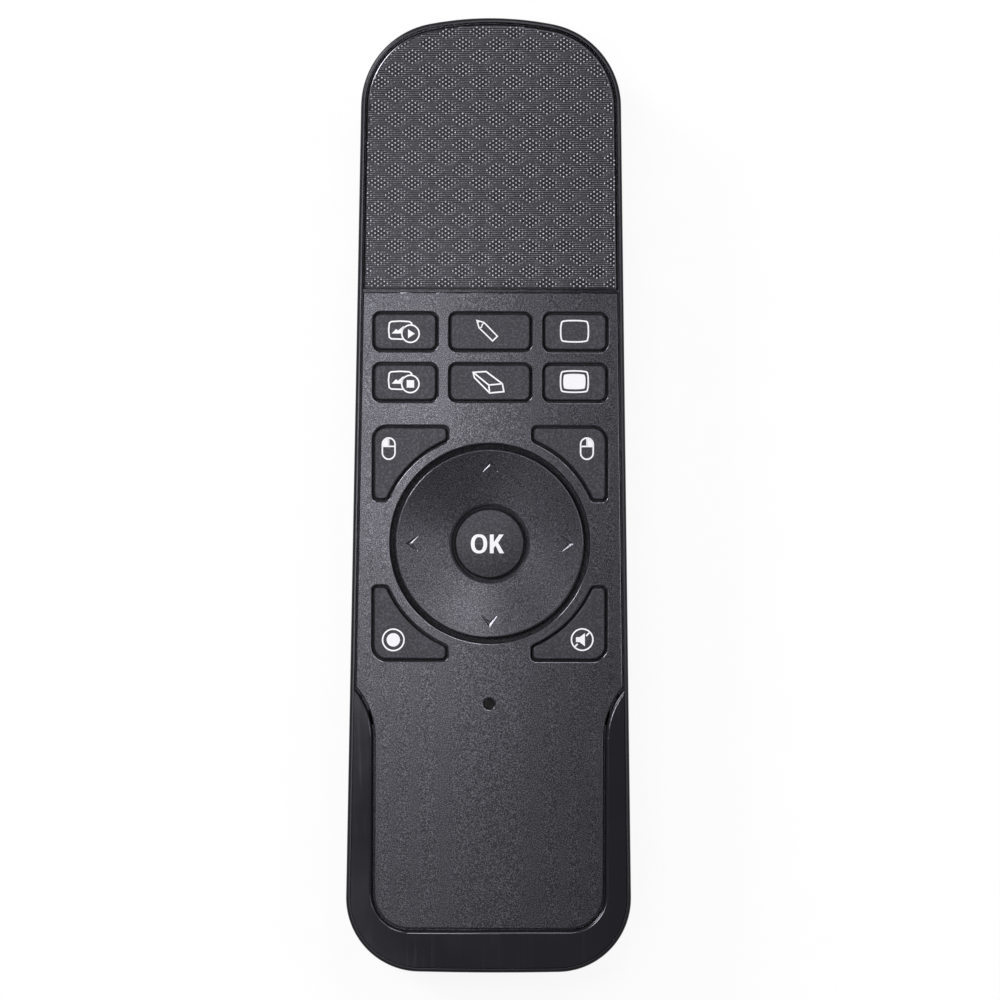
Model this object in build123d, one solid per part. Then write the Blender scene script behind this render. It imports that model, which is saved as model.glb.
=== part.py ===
from build123d import *
import math
import os

# Wireless presentation clicker with a touchpad. Millimetres. It lies face up: +Z is out of the face,
# +Y runs to the nose (the touchpad end), X is across, and the origin is under the middle of the body.

os.makedirs("parts", exist_ok=True)

# ------------------------------------------------------------------ outline of the body, seen from above
body_length = 145.2
front_width = 39.2            # between the straight sides, carried on to the nose end
rear_width = 43.8             # the same at the tail end
nose_bow_radius = 50.0
nose_corner_radius = 12.8
tail_bow_radius = 600.0
tail_corner_radius = 11.2

# ------------------------------------------------------------------ section of the body
collar_height = 2.9           # top of the crowned face over the walls that stop the keys
crown_radius = 300.0          # the face is part of a wide cylinder along Y
wall = 1.6
floor_thickness = 1.8
side_lean = 0.7               # how far the side walls lean in on their way down
back_round = 6.5              # round between the walls and the back
back_rise_start = 0.0         # the back is flat up to here, then rises towards the nose
back_rise_radius = 400.0
rim_width = 0.6               # gloss lip that stands round the face
rim_round = 0.45
rim_gap = 0.28                # dark gap between the lip and what lies inside it

# ------------------------------------------------------------------ fits
seat_gap = 0.05               # between curved faces that rest on each other
slip_gap = 0.15               # round what slides or drops in
edge_break = 0.2              # small rounds on moulded edges
margin = 5.0                  # how far a cutting block reaches past the body
overlap = 0.5                 # between two blocks that run into each other

# ------------------------------------------------------------------ touchpad and cover plate
pad_edge = 31.35              # tail edge of the touch plate
pad_thickness = 1.4
pad_round = 0.5               # along the rim
pad_edge_round = 0.12         # along the seam
pad_boss_inset = 5.4          # flat boss on its underside, behind the sensor board
pad_boss_drop = 0.5
pad_boss_rear = 4.5           # the boss starts this far from the plate's tail edge
seam_width = 0.45             # gap between touch plate and cover plate
plate_thickness = 1.6
frame_thickness = 1.2         # tray under the pad and shelf under the band
frame_inset = 5.0             # inner edge of the tray under the pad
frame_rear = 4.0              # width of the tray under the plate's tail edge
seam_border = 1.5             # thick border of the cover along the seam
shelf_front = 2.0             # the shelf ends this far in front of the start of the band's flare
shelf_width = 3.0             # of the shelf under the band, inside the plate's edge
lip_inset = 1.45              # inner edge of the cover's thick border
collar_width = 0.8            # walls that hang round each opening
hook_ends = (20.6, 22.6)      # outer hooks, from the nose and from the tail
hook_inner = (5.65, 4.0)      # inner hooks, in front of the pad's edge and of the band's flare
hook_width = 5.0
hook_thickness = 1.0
hook_drop = 4.6
barb_height = 0.9
barb_reach = 0.5
barb_tip = 0.3
rib_start = 7.9               # last rib, in front of the plate's tail edge
rib_spacing = 8.0
rib_count = 3
rib_thickness = 1.0
rib_side_gap = 2.0            # between a rib and the plate's edge
rib_clearance = 2.2           # over the bay's roof

# ------------------------------------------------------------------ U-shaped band round the tail
band_side_width = 4.5         # rim to the plate's straight edges, at the tail end
band_end_width = 6.7          # rim to the plate's tail edge
field_corner_radius = 5.3
flare_start = -37.0           # from here the edge curves out to the rim
flare_radius = 11.85
band_gap = 0.3                # dark gap between plate and band
band_thickness = 1.2
band_seam = 0.1
band_round = 0.5              # of its inner lip

# ------------------------------------------------------------------ keys
key_gap = 0.3                 # round each key in its opening
key_sink = 0.12               # key tops lie this far under the face
key_round = 0.28
key_travel = 0.6
flange_rise = 0.3             # the flanges over the mat, with the key fully down
key_corner_radius = 1.3
middle_key_width = 12.7
key_side_gap = 2.44           # from the outer keys to the body's side, at the front row
key_spacing = 1.605           # between the keys of a row
front_key_height = 6.05
front_key_y = 24.87
second_key_height = 6.0
second_key_y = 17.15
pressing_room = 0.15          # left over a dome when its key is fully down
flange_overhang = 0.35
flange_thickness = 0.7
flange_play = 0.1
stem_radius = 1.6

# ------------------------------------------------------------------ direction ring, OK key, corner keys
dpad_y = -7.33
dpad_side_gap = 2.72          # from its opening to the line of the keys' outer edges
ring_gap = 0.85               # round the ring
ring_face_width = 9.35        # from its opening to the OK key's
ring_shoulder = 0.25
ring_chamfer = 0.3            # round its bore
ring_edge_rise = 0.05         # ring edge over the highest line of the face
ring_dish = 0.5               # how far the ring sinks towards its middle
ring_wall = 1.2
ring_top_thickness = 1.7
ring_flange_reach = 1.0       # of its flange past the opening
ring_tilt = 1.6               # degrees each way
ok_gap = 0.45                 # round the OK key
ok_sink = 0.3
ok_dome_rise = 0.35
ok_bevel = 0.3
ok_flange_reach = 0.7         # of its flange past its opening
rocker_gap = 1.25             # between its opening and the rocker's, seen from above
rocker_width = 1.5
rocker_thickness = 0.6
rocker_rise = 1.25            # its underside over the board
base_thickness = 0.5
pivot_width = 1.3
ring_bore_wall = 0.85
direction_inset = 3.35        # from the ring's edge to the four domes and nubs under it
nub_radius = 1.0
chevron_inset = 2.15          # from the ring's edge to the chevrons' points
chevron_depth = 1.2
chevron_half_span = 1.08
chevron_width = 0.08          # at the bottom of the groove
chevron_sink = 0.13
chevron_taper = 63.0          # degrees of its walls
dish_power = 1.7              # how the dish of the ring rises towards its edge
corner_key_x = 6.3            # inner edge of their openings, whose outer edge is in line with the rows
corner_key_y = 6.38           # the same along Y, from the ring's centre
corner_key_rise = 2.73        # outer edge along Y, past the ring's opening
corner_key_web = 1.55         # of the cover, between the ring's opening and theirs
corner_key_round = 2.3
corner_key_end_round = 0.9
corner_dome_inset = (3.32, 3.53)  # of a corner key's dome, from the outer edges

# ------------------------------------------------------------------ status light
light_y = -31.7
light_radius = 0.85
light_sink = 1.2
light_foot = 0.8              # rim and thickness of the light guide's foot
led_size = (1.6, 1.2, 0.7)
led_gap = 0.2                 # between the light and its guide

# ------------------------------------------------------------------ battery bay and its door
cell_radius = 5.25
cell_length = 44.5
cell_button_radius = 1.9
cell_button_height = 0.9
cell_spacing = 10.9
cell_clearance = 0.15
cell_round = 0.5
cell_floor_gap = 0.25         # between the cells and the door
bay_half_width = 11.4
bay_wall = 2.1
bay_partition = 1.0
bay_gap = 1.1                 # receiver's plug to the bay
roof_thickness = 0.9
board_gap = 0.2               # between the bay's roof and the board
contact_thickness = 0.35
contact_dimple = 0.25
contact_spring = 2.65
contact_spring_half = 3.4
contact_spring_width = 4.0
contact_half_size = (4.0, 4.2)
contact_dimple_radius = 1.5
door_thickness = 1.6
door_overrun = 9.4            # the door's front edge in front of the bay
door_tongue = 1.1
door_tongue_thickness = 0.85
door_lip_height = 2.7         # how far the door wraps up round the tail
door_lip_thickness = 3.0
door_lip_room = 4.0           # opening for the lip, along the body
door_rail = 1.4               # thick edge that carries the tongue
door_rail_level = 0.5
door_tab = (2.0, 2.0, 1.1)    # front tab: half width, root length, reach under the housing
door_tab_room = 0.2
grip_count = 5
grip_spacing = 1.6
grip_start = 4.0              # first groove, from the door's front edge
grip_width = 14.0
grip_depth = 0.35

# ------------------------------------------------------------------ receiver in the tail
receiver_level = 9.0
receiver_width = 15.6
receiver_height = 6.6
receiver_cap_length = 6.0
receiver_corner = 1.5
plug_width = 12.0
plug_height = 4.5
plug_length = 12.0
plug_wall = 0.3
plug_windows = (2.9, 2.4, 2.4)  # half spacing, width and length of the two square windows
plug_window_end = 4.6         # from the plug's front
tongue_height = 1.8
tongue_gap = 0.4
pin_spacing = 2.5
pin_width = 1.0
pin_thickness = 0.15
pin_ends = (2.0, 1.2)         # from the plug's rear and front
chamber_wall = 1.0
scoop_radius = 2.2
scoop_width = 7.0
scoop_depth = 1.0

# ------------------------------------------------------------------ board
board_thickness = 1.2
board_side_gap = 2.0          # inside the body's outline at the nose end
board_front = 31.0
board_rear = -35.0
board_corner_radius = 2.0
mat_thickness = 0.8
mat_front_gap = 0.3           # to the connector
mat_rear = -27.5
dome_height = 0.5
dome_radius = 2.2
dome_crest_radius = 1.2
dome_hole_gap = 0.5
front_screw_spot = (9.0, 12.35)
rear_screw_y = -31.0
post_radius = 2.4
rear_post_radius = 2.0
rear_post_root = 2.0          # how deep the rear posts stand in the bay's walls
screw_radius = 0.75
screw_bite = 0.05             # of the thread in its post
screw_slot = (2.0, 0.4)
screw_head_radius = 1.5
screw_head_height = 0.9
screw_length = 6.0

# ------------------------------------------------------------------ power slider
slider_y = 24.0
slider_chips = ((-7.5, -4.0, 6.0, 6.0, 0.9), (7.5, -5.0, 5.0, 4.0, 1.4))
bay_chips = ((-1.0, 10.9, 3.2, 2.5, 0.8), (14.2, 10.4, 4.5, 3.0, 1.1), (-13.0, 8.9, 3.0, 1.6, 0.8))
slider_travel = 2.0
slider_recess = (13.0, 7.5)
slider_recess_depth = 1.3
slider_knob = (5.0, 4.6)
slider_neck = 2.4
slider_flange = (7.4, 5.0, 0.7)
slider_pad_margin = (2.0, 1.5)
slider_pad_thickness = 1.2
slider_recess_round = 2.0
slider_rib_spacing = 1.0
slider_rib_gap = 0.4          # width of the grooves between the ribs
slider_sink = 0.25            # knob under the back, and the depth of its grooves
stalk_wall = 1.2
stalk_half_depth = 1.5
stalk_gap = 0.5               # between the stalk and the switch
lever_length = 2.2
lever_width = 1.5
switch_size = (8.6, 3.6, 1.4)

# ------------------------------------------------------------------ laser
laser_level = 13.2
laser_radius = 3.2
laser_setback = 3.6           # front of the barrel, from the nose
laser_length = 12.0
laser_recesses = ((0.6, 1.5), (0.5, 1.0))  # wall and depth, at the front and at the rear
saddle_ends = (2.0, 3.0)      # saddles' middles, from the barrel's rear and front
saddle_side = 1.5
saddle_thickness = 1.2
laser_window_radius = 2.8
laser_window_thickness = 0.9
laser_hole_radius = 2.1
laser_window_sink = 0.1
lead_radius = 0.45
lead_spacing = 2.6
lead_bend = 4.0
lead_straight = 5.0           # behind the barrel
lead_drop = 14.0              # length over which the leads come down
lead_sag = 2.5                # depth of their low point under the board
lead_end = (1.0, 4.0)         # where they lie under the board, from its front edge

# ------------------------------------------------------------------ touch board
touch_board_thickness = 0.8
touch_flex_width = 9.0
touch_flex_thickness = 0.25
flex_bend_start = 8.0         # from the board's front edge
flex_overlap = 6.0            # where the cable ends under the touch board
connector_width = 11.0
connector_height = 1.3
connector_mouth = 0.65        # level of the cable over the board
connector_back = 0.8          # its closed rear wall

# ------------------------------------------------------------------ levels that follow from the above
half_length = body_length / 2
field_half_width = rear_width / 2 - band_side_width
field_end = band_end_width - half_length
hook_stations = (
    half_length - hook_ends[0],
    pad_edge + hook_inner[0],
    flare_start + hook_inner[1],
    hook_ends[1] - half_length,
)
side_angle = math.atan2((rear_width - front_width) / 2, body_length)
side_normal = Vector(math.cos(side_angle), math.sin(side_angle))
side_offset = (rear_width + front_width) / 4 * math.cos(side_angle)
ledge_depth = pad_thickness + frame_thickness + 2 * seat_gap
cell_level = door_thickness + cell_floor_gap + cell_radius
roof_bottom = cell_level + cell_radius + cell_clearance
roof_top = roof_bottom + roof_thickness
board_bottom = roof_top + board_gap
board_top = board_bottom + board_thickness
mat_top = board_top + mat_thickness
dome_top = board_top + dome_height
stem_tip = dome_top + key_travel + pressing_room
flange_bottom = mat_top + key_travel + flange_rise
flange_top = flange_bottom + flange_thickness
collar_level = flange_top + flange_play
body_height = collar_level + collar_height  # back face to the top of the crowned face
above = body_height + 1.0     # safely over everything
rim_level = body_height - crown_radius + math.sqrt(crown_radius**2 - (rear_width / 2) ** 2)
cover_inset = rim_width + rim_gap
reach_x = rear_width / 2 + margin     # half width of a block that spans the body
bay_rear = receiver_cap_length + plug_length + bay_gap - half_length
bay_front = bay_rear + cell_length + 2 * contact_thickness + contact_dimple + contact_spring
door_front = bay_front + door_overrun
board_half_width = front_width / 2 - board_side_gap
laser_front = half_length - laser_setback
connector_rear = front_key_y + front_key_height / 2 + flange_overhang + slip_gap
mat_front = connector_rear - mat_front_gap


# ================================================================== shapes that several parts share
def block(low, high):
    """Box between two opposite corners."""
    size = [b - a for a, b in zip(low, high)]
    middle = [(a + b) / 2 for a, b in zip(low, high)]
    return Pos(*middle) * Box(*size)


def rod(x, y, radius, bottom, top):
    """Upright cylinder."""
    return Pos(x, y, (bottom + top) / 2) * Cylinder(radius, top - bottom)


def rod_along_y(x, z, radius, rear, front):
    """Cylinder along the body."""
    return Pos(x, (rear + front) / 2, z) * Rot(90, 0, 0) * Cylinder(radius, front - rear)


def prism(face, bottom, top):
    """A flat outline pushed straight up from one level to another."""
    return extrude(Pos(0, 0, bottom) * face, top - bottom, dir=(0, 0, 1))


def half_width(y):
    """Half the distance between the straight sides."""
    share = (y + half_length) / body_length
    return (rear_width + (front_width - rear_width) * share) / 2


def corner_centre(end, bow_radius, corner_radius):
    """Centre of the arc from a straight side into an end; end is 1 at the nose and -1 at the tail."""
    bow_centre = Vector(0, end * (half_length - bow_radius))
    along = Vector(-side_normal.Y, side_normal.X)
    foot = side_normal * (side_offset - corner_radius)
    offset = foot - bow_centre
    across = offset.dot(along)
    root = math.sqrt(across**2 - offset.dot(offset) + (bow_radius - corner_radius) ** 2)
    return foot + along * (end * root - across), bow_centre


def outline(inset=0.0):
    """The body's outline from above, moved in by an inset."""
    nose, nose_bow = corner_centre(1, nose_bow_radius, nose_corner_radius)
    tail, tail_bow = corner_centre(-1, tail_bow_radius, tail_corner_radius)
    nose_out = (nose - nose_bow).normalized()
    tail_out = (tail - tail_bow).normalized()
    nose_r = nose_corner_radius - inset
    tail_r = tail_corner_radius - inset
    tail_end = tail + tail_out * tail_r
    tail_mid = tail + (tail_out + side_normal).normalized() * tail_r
    tail_side = tail + side_normal * tail_r
    nose_side = nose + side_normal * nose_r
    nose_mid = nose + (nose_out + side_normal).normalized() * nose_r
    nose_end = nose + nose_out * nose_r

    def mirrored(point):
        return Vector(-point.X, point.Y)

    edges = [
        Edge.make_three_point_arc(mirrored(tail_end), Vector(0, inset - half_length), tail_end),
        Edge.make_three_point_arc(tail_end, tail_mid, tail_side),
        Edge.make_line(tail_side, nose_side),
        Edge.make_three_point_arc(nose_side, nose_mid, nose_end),
        Edge.make_three_point_arc(nose_end, Vector(0, half_length - inset), mirrored(nose_end)),
        Edge.make_three_point_arc(mirrored(nose_end), mirrored(nose_mid), mirrored(nose_side)),
        Edge.make_line(mirrored(nose_side), mirrored(tail_side)),
        Edge.make_three_point_arc(mirrored(tail_side), mirrored(tail_mid), mirrored(tail_end)),
    ]
    return Face(Wire(edges))


def crown(depth=0.0):
    """Everything under the crowned face, or under a surface at some depth below it."""
    level = body_height - crown_radius
    return Pos(0, 0, level) * Rot(90, 0, 0) * Cylinder(crown_radius - depth, body_length + 20)


def skin(face, top_depth, bottom_depth):
    """Curved sheet of one outline between two depths under the crowned face."""
    return prism(face, 0, above) & (crown(top_depth) - crown(bottom_depth))


def on_crown(shape, depth=0.0):
    """The edges of a shape that lie on the crowned surface of a depth."""
    level = body_height - crown_radius

    def radius(point):
        return math.hypot(point.X, point.Z - level)

    found = ShapeList()
    for edge in shape.edges():
        points = [edge @ share for share in (0, 0.3, 0.5, 0.8, 1)]
        if all(abs(radius(point) - crown_radius + depth) < 0.002 for point in points):
            found.append(edge)
    return found


def underside(inset):
    """Side profile of the body: flat back that rises in a long arc towards the nose."""
    reach = half_length + margin
    radius = back_rise_radius - inset
    centre_z = back_rise_radius
    bend = math.asin(reach / radius)
    mid = bend / 2
    rise = Edge.make_three_point_arc(
        Vector(0, back_rise_start, inset),
        Vector(0, back_rise_start + radius * math.sin(mid), centre_z - radius * math.cos(mid)),
        Vector(0, back_rise_start + radius * math.sin(bend), centre_z - radius * math.cos(bend)),
    )
    top = above + margin
    front = rise @ 1
    lines = [
        rise,
        Edge.make_line(front, Vector(0, front.Y, top)),
        Edge.make_line(Vector(0, front.Y, top), Vector(0, -reach, top)),
        Edge.make_line(Vector(0, -reach, top), Vector(0, -reach, inset)),
        Edge.make_line(Vector(0, -reach, inset), Vector(0, back_rise_start, inset)),
    ]
    return extrude(Face(Wire(lines)), rear_width, dir=(1, 0, 0), both=True)


def hull(inset=0.0, floor=0.0):
    """The rounded body, moved in by an inset at the walls and by a floor at the back."""
    leaning = side_lean / rim_level
    bottom = outline(inset + side_lean)
    top = Pos(0, 0, above) * outline(inset - leaning * (above - rim_level))
    body = loft([bottom, top], ruled=True) & underside(floor)
    backs = body.faces().filter_by(lambda face: face.normal_at().Z < -0.7)
    shared = ShapeList(edge for edge in backs[0].edges() if edge in backs[1].edges())
    rounds = ShapeList(edge for back in backs for edge in back.edges() if edge not in shared)
    return fillet(rounds, back_round - max(inset, floor))


def wall_inset(level):
    """How far the inner face of a side wall lies inside the outline at a level."""
    return wall + side_lean * (1 - level / rim_level)


def both_sides(shape):
    """A shape and its mirror image across the middle of the body."""
    return shape + mirror(shape, about=Plane.YZ)


def on_board(face, thickness):
    """A sheet that lies on the board."""
    return prism(face, board_top, board_top + thickness)


# ================================================================== openings and keys
def plate_field(growth=0.0):
    """The space that the band leaves for the plate, grown by a gap."""
    x = field_half_width + growth
    end = field_end - growth
    corner = field_corner_radius + growth
    flare = flare_radius - growth
    out = rear_width / 2 + 3
    bend = math.acos(1 - (out - x) / flare)
    diagonal = math.sqrt(0.5)

    def side(sign):
        flare_end = Vector(sign * out, flare_start + flare * math.sin(bend))
        flare_mid = Vector(
            sign * (x + flare * (1 - math.cos(bend / 2))), flare_start + flare * math.sin(bend / 2)
        )
        corner_mid = Vector(
            sign * (x - corner * (1 - diagonal)), end + corner * (1 - diagonal)
        )
        return [
            Edge.make_line(Vector(sign * out, half_length + margin), flare_end),
            Edge.make_three_point_arc(flare_end, flare_mid, Vector(sign * x, flare_start)),
            Edge.make_line(Vector(sign * x, flare_start), Vector(sign * x, end + corner)),
            Edge.make_three_point_arc(
                Vector(sign * x, end + corner), corner_mid, Vector(sign * (x - corner), end)
            ),
        ]

    edges = side(-1) + side(1)
    edges.append(Edge.make_line(Vector(corner - x, end), Vector(x - corner, end)))
    edges.append(Edge.make_line(Vector(-out, half_length + margin), Vector(out, half_length + margin)))
    return Face(Wire(edges))


def small_key_shape(x, y, width, height):
    """Outline of a small key's opening, as a function of how far it is grown."""

    def shape(growth=0.0):
        rounded = RectangleRounded(
            width + 2 * growth, height + 2 * growth, key_corner_radius + growth
        )
        return (Pos(x, y) * rounded).face()

    return shape


def corner_key_shape(side, end):
    """Outline of a corner key's opening; side and end are 1 or -1."""

    def shape(growth=0.0):
        x0 = corner_key_x - growth
        x1 = key_row_edge + growth
        y0 = corner_key_y - growth
        y1 = corner_key_reach + growth
        plain = Pos((x0 + x1) / 2, (y0 + y1) / 2) * Rectangle(x1 - x0, y1 - y0)
        plain -= Circle(corner_key_arc_radius - growth)
        tip = plain.vertices().sort_by_distance((x1, y1))[0]
        rounded = fillet(tip, corner_key_round + growth)
        ends = rounded.vertices().filter_by(
            lambda v: math.hypot(v.X, v.Y) < corner_key_arc_radius - growth + 0.01
            or abs(v.X - x0) < 0.01
            or abs(v.Y - y0) < 0.01
        )
        rounded = fillet(ends, corner_key_end_round + growth / 2)
        if side < 0:
            rounded = mirror(rounded, about=Plane.YZ)
        if end < 0:
            rounded = mirror(rounded, about=Plane.XZ)
        return (Pos(0, dpad_y) * rounded).face()

    return shape


key_row_edge = half_width(front_key_y) - key_side_gap
dpad_opening_radius = key_row_edge - dpad_side_gap
corner_key_arc_radius = dpad_opening_radius + corner_key_web
corner_key_reach = dpad_opening_radius + corner_key_rise
ring_flange_radius = dpad_opening_radius + ring_flange_reach
ring_radius = dpad_opening_radius - ring_gap
direction_radius = ring_radius - direction_inset
chevron_radius = ring_radius - chevron_inset
ok_opening_radius = dpad_opening_radius - ring_face_width
ok_key_radius = ok_opening_radius - ok_gap
ok_flange_radius = ok_opening_radius + ok_flange_reach
rocker_inner_radius = ok_opening_radius + rocker_gap
rocker_outer_radius = rocker_inner_radius + rocker_width
side_key_width = key_row_edge - middle_key_width / 2 - key_spacing
side_key_x = key_row_edge - side_key_width / 2
small_keys = {
    "start_key": (-side_key_x, front_key_y, side_key_width, front_key_height),
    "pen_key": (0.0, front_key_y, middle_key_width, front_key_height),
    "blank_screen_key": (side_key_x, front_key_y, side_key_width, front_key_height),
    "stop_key": (-side_key_x, second_key_y, side_key_width, second_key_height),
    "eraser_key": (0.0, second_key_y, middle_key_width, second_key_height),
    "white_screen_key": (side_key_x, second_key_y, side_key_width, second_key_height),
}
corner_keys = {
    "left_click_key": (-1, 1),
    "right_click_key": (1, 1),
    "laser_key": (-1, -1),
    "mute_key": (1, -1),
}

key_shapes = {}
key_domes = {}
for name, (key_x, key_y, key_width, key_height) in small_keys.items():
    key_shapes[name] = small_key_shape(key_x, key_y, key_width, key_height)
    key_domes[name] = (key_x, key_y)
for name, (key_side, key_end) in corner_keys.items():
    key_shapes[name] = corner_key_shape(key_side, key_end)
    dome_x = key_row_edge - corner_dome_inset[0]
    dome_y = corner_key_reach - corner_dome_inset[1]
    key_domes[name] = (key_side * dome_x, dpad_y + key_end * dome_y)
directions = [(0, 1), (1, 0), (0, -1), (-1, 0)]
dome_spots = list(key_domes.values()) + [(0.0, dpad_y)]
dome_spots += [(direction_radius * dx, dpad_y + direction_radius * dy) for dx, dy in directions]


def make_key(shape, dome):
    """One key: crowned cap, flange that stops under the cover, and the stem over its dome."""
    cap = prism(shape(-key_gap), flange_top, above) & crown(key_sink)
    cap = fillet(on_crown(cap, key_sink), key_round)
    flange = prism(shape(flange_overhang), flange_bottom, flange_top)
    return cap + flange + rod(*dome, stem_radius, stem_tip, flange_bottom)


# ================================================================== housing
def make_lower_housing():
    """Gloss tub: rounded shell, rim lip, battery bay, receiver chamber, posts and cradle."""
    inner = hull(wall, floor_thickness)
    shell = (hull() & crown()) - inner
    middle_of_wall = outline(wall / 2)
    outer_rim = on_crown(shell).filter_by(lambda edge: not over(middle_of_wall, edge @ 0.5))
    shell = fillet(outer_rim, rim_round)
    shell -= prism(outline(rim_width), body_height / 2, above + 1) - crown(ledge_depth)
    within = hull(wall / 2, floor_thickness / 2) & crown(ledge_depth)
    fittings = bay_walls() + receiver_chamber() + board_posts() + laser_cradle() + slider_pad()
    shell += fittings & within
    shell -= door_space()
    shell -= receiver_slot()
    shell -= slider_slots()
    shell -= laser_holes()
    shell -= hook_slots()
    shell -= screw_pilots()
    return shell


def over(face, point):
    """Whether a point lies over a flat outline."""
    return face.is_inside(Vector(point.X, point.Y, 0))


def bay_walls():
    """Battery bay: two grooved side walls, a partition, a front wall and a roof over the cells."""
    outer = bay_half_width + bay_wall
    side = block((bay_half_width, -half_length, 0), (outer, bay_front + bay_partition, roof_top))
    guide_end = door_front + door_tab[2]
    guide = block((bay_half_width, bay_front, 0), (outer, guide_end, 2 * floor_thickness))
    lift = door_thickness + slip_gap
    roof = block((-outer, bay_rear, roof_bottom), (outer, bay_front, roof_top))
    front = block((-outer, bay_front, lift), (outer, bay_front + bay_partition, roof_top))
    rear = block((-outer, bay_rear - bay_partition, lift), (outer, bay_rear, roof_top))
    return both_sides(side + guide) + roof + front + rear


def receiver_chamber():
    """Chamber behind the bay that the receiver slides into."""
    outer_x = receiver_width / 2 + slip_gap + chamber_wall
    low = receiver_level - receiver_height / 2 - slip_gap - chamber_wall
    high = receiver_level + receiver_height / 2 + slip_gap + chamber_wall
    reach = bay_half_width + overlap
    floor_plate = block((-reach, -half_length, low), (reach, bay_rear, low + chamber_wall))
    roof_plate = block((-reach, -half_length, high - chamber_wall), (reach, bay_rear, high))
    tunnel = block((-outer_x, -half_length, low), (outer_x, bay_rear, high))
    return floor_plate + roof_plate + tunnel


def board_posts():
    """Posts under the board's four screws."""
    x, y = front_screw_spot
    front = both_sides(rod(x, y, post_radius, 0, board_bottom))
    rear_x = bay_half_width + bay_wall / 2
    root = roof_top - rear_post_root
    rear = both_sides(rod(rear_x, rear_screw_y, rear_post_radius, root, board_bottom))
    return front + rear


def screw_spots():
    """Where the four board screws stand."""
    x, y = front_screw_spot
    rear_x = bay_half_width + bay_wall / 2
    return [(x, y), (-x, y), (rear_x, rear_screw_y), (-rear_x, rear_screw_y)]


def screw_pilots():
    """Holes that the board screws cut their thread in."""
    radius = screw_radius - screw_bite
    depth = board_bottom - screw_length
    return Part() + [rod(x, y, radius, depth, board_top) for x, y in screw_spots()]


def laser_cradle():
    """Two saddles that carry the laser barrel."""
    width = laser_radius + saddle_side
    half = saddle_thickness / 2
    rear_end, front_end = saddle_ends
    saddles = Part()
    for station in (laser_front - laser_length + rear_end, laser_front - front_end):
        saddles += block((-width, station - half, 0), (width, station + half, laser_level))
    return saddles - rod_along_y(0, laser_level, laser_radius + seat_gap, 0, half_length)


def laser_holes():
    """Light hole through the nose, with a seat for the window."""
    front = half_length + margin
    seat = half_length - laser_window_thickness - laser_window_sink
    hole = rod_along_y(0, laser_level, laser_hole_radius, laser_front - overlap, front)
    return hole + rod_along_y(0, laser_level, laser_window_radius + seat_gap, seat, front)


def slider_pad():
    """Thicker floor round the power slider."""
    x = slider_recess[0] / 2 + slider_pad_margin[0]
    y = slider_recess[1] / 2 + slider_pad_margin[1]
    top = slider_floor() + slider_pad_thickness
    return block((-x, slider_y - y, 0), (x, slider_y + y, top))


def back_level(y):
    """Height of the outer back at a station along the body."""
    if y <= back_rise_start:
        return 0.0
    return back_rise_radius - math.sqrt(back_rise_radius**2 - (y - back_rise_start) ** 2)


def slider_floor():
    """Level of the bottom of the recess that the power slider moves in."""
    return back_level(slider_y) + slider_recess_depth


def slider_slots():
    """Recess on the back for the power slider and the slot for its neck."""
    x, y = slider_recess
    face = (Pos(0, slider_y) * RectangleRounded(x, y, slider_recess_round)).face()
    recess = prism(face, -1, slider_floor())
    reach = slider_neck / 2 + slider_travel / 2 + slip_gap
    width = slider_neck / 2 + slip_gap
    return recess + block((-reach, slider_y - width, 0), (reach, slider_y + width, above / 2))


def hook_seat(station):
    """X of the outer face of a snap hook at a station along the body."""
    return half_width(station) - wall_inset(rim_level - hook_drop) - slip_gap


def hook_levels():
    """Bottom and top of the hooks' barbs."""
    bottom = rim_level - pad_thickness - hook_drop
    return bottom, bottom + barb_height


def hook_slots():
    """Pockets in the walls that the cover's hooks snap into."""
    bottom, top = hook_levels()
    slots = Part()
    for station in hook_stations:
        x = hook_seat(station)
        half = hook_width / 2 + slip_gap
        slots += block(
            (x - overlap, station - half, bottom - slip_gap),
            (x + slip_gap + barb_reach + slip_gap, station + half, top + slip_gap),
        )
    return both_sides(slots)


def door_space():
    """Opening in the back for the battery door, with the grooves for its tongues."""
    x = bay_half_width
    groove = bay_half_width + door_tongue + slip_gap
    groove_top = floor_thickness + door_tongue_thickness + 2 * seat_gap
    opening = block((-x, -half_length - margin, -1), (x, door_front + slip_gap, floor_thickness + 0.01))
    tail_front = door_lip_room - half_length
    tail = block((-x, -half_length - margin, -1), (x, tail_front, door_lip_height + slip_gap))
    groove_end = door_front + door_tab[2] + door_tab_room
    grooves = block(
        (-groove, -half_length - margin, floor_thickness), (groove, groove_end, groove_top)
    )
    return opening + tail + grooves


def receiver_slot():
    """Slot through the tail wall for the receiver, with a scoop for a fingernail."""
    width = receiver_width + 2 * slip_gap
    height = receiver_height + 2 * slip_gap
    mouth = RectangleRounded(width, height, receiver_corner + slip_gap).face()
    length = half_length + margin + bay_rear - bay_partition
    slot = Pos(0, -half_length - margin, receiver_level) * Rot(-90, 0, 0) * extrude(mouth, length)
    scoop = Rot(0, 90, 0) * Cylinder(scoop_radius, scoop_width)
    return slot + Pos(0, -half_length - scoop_depth, receiver_level - height / 2) * scoop


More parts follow.
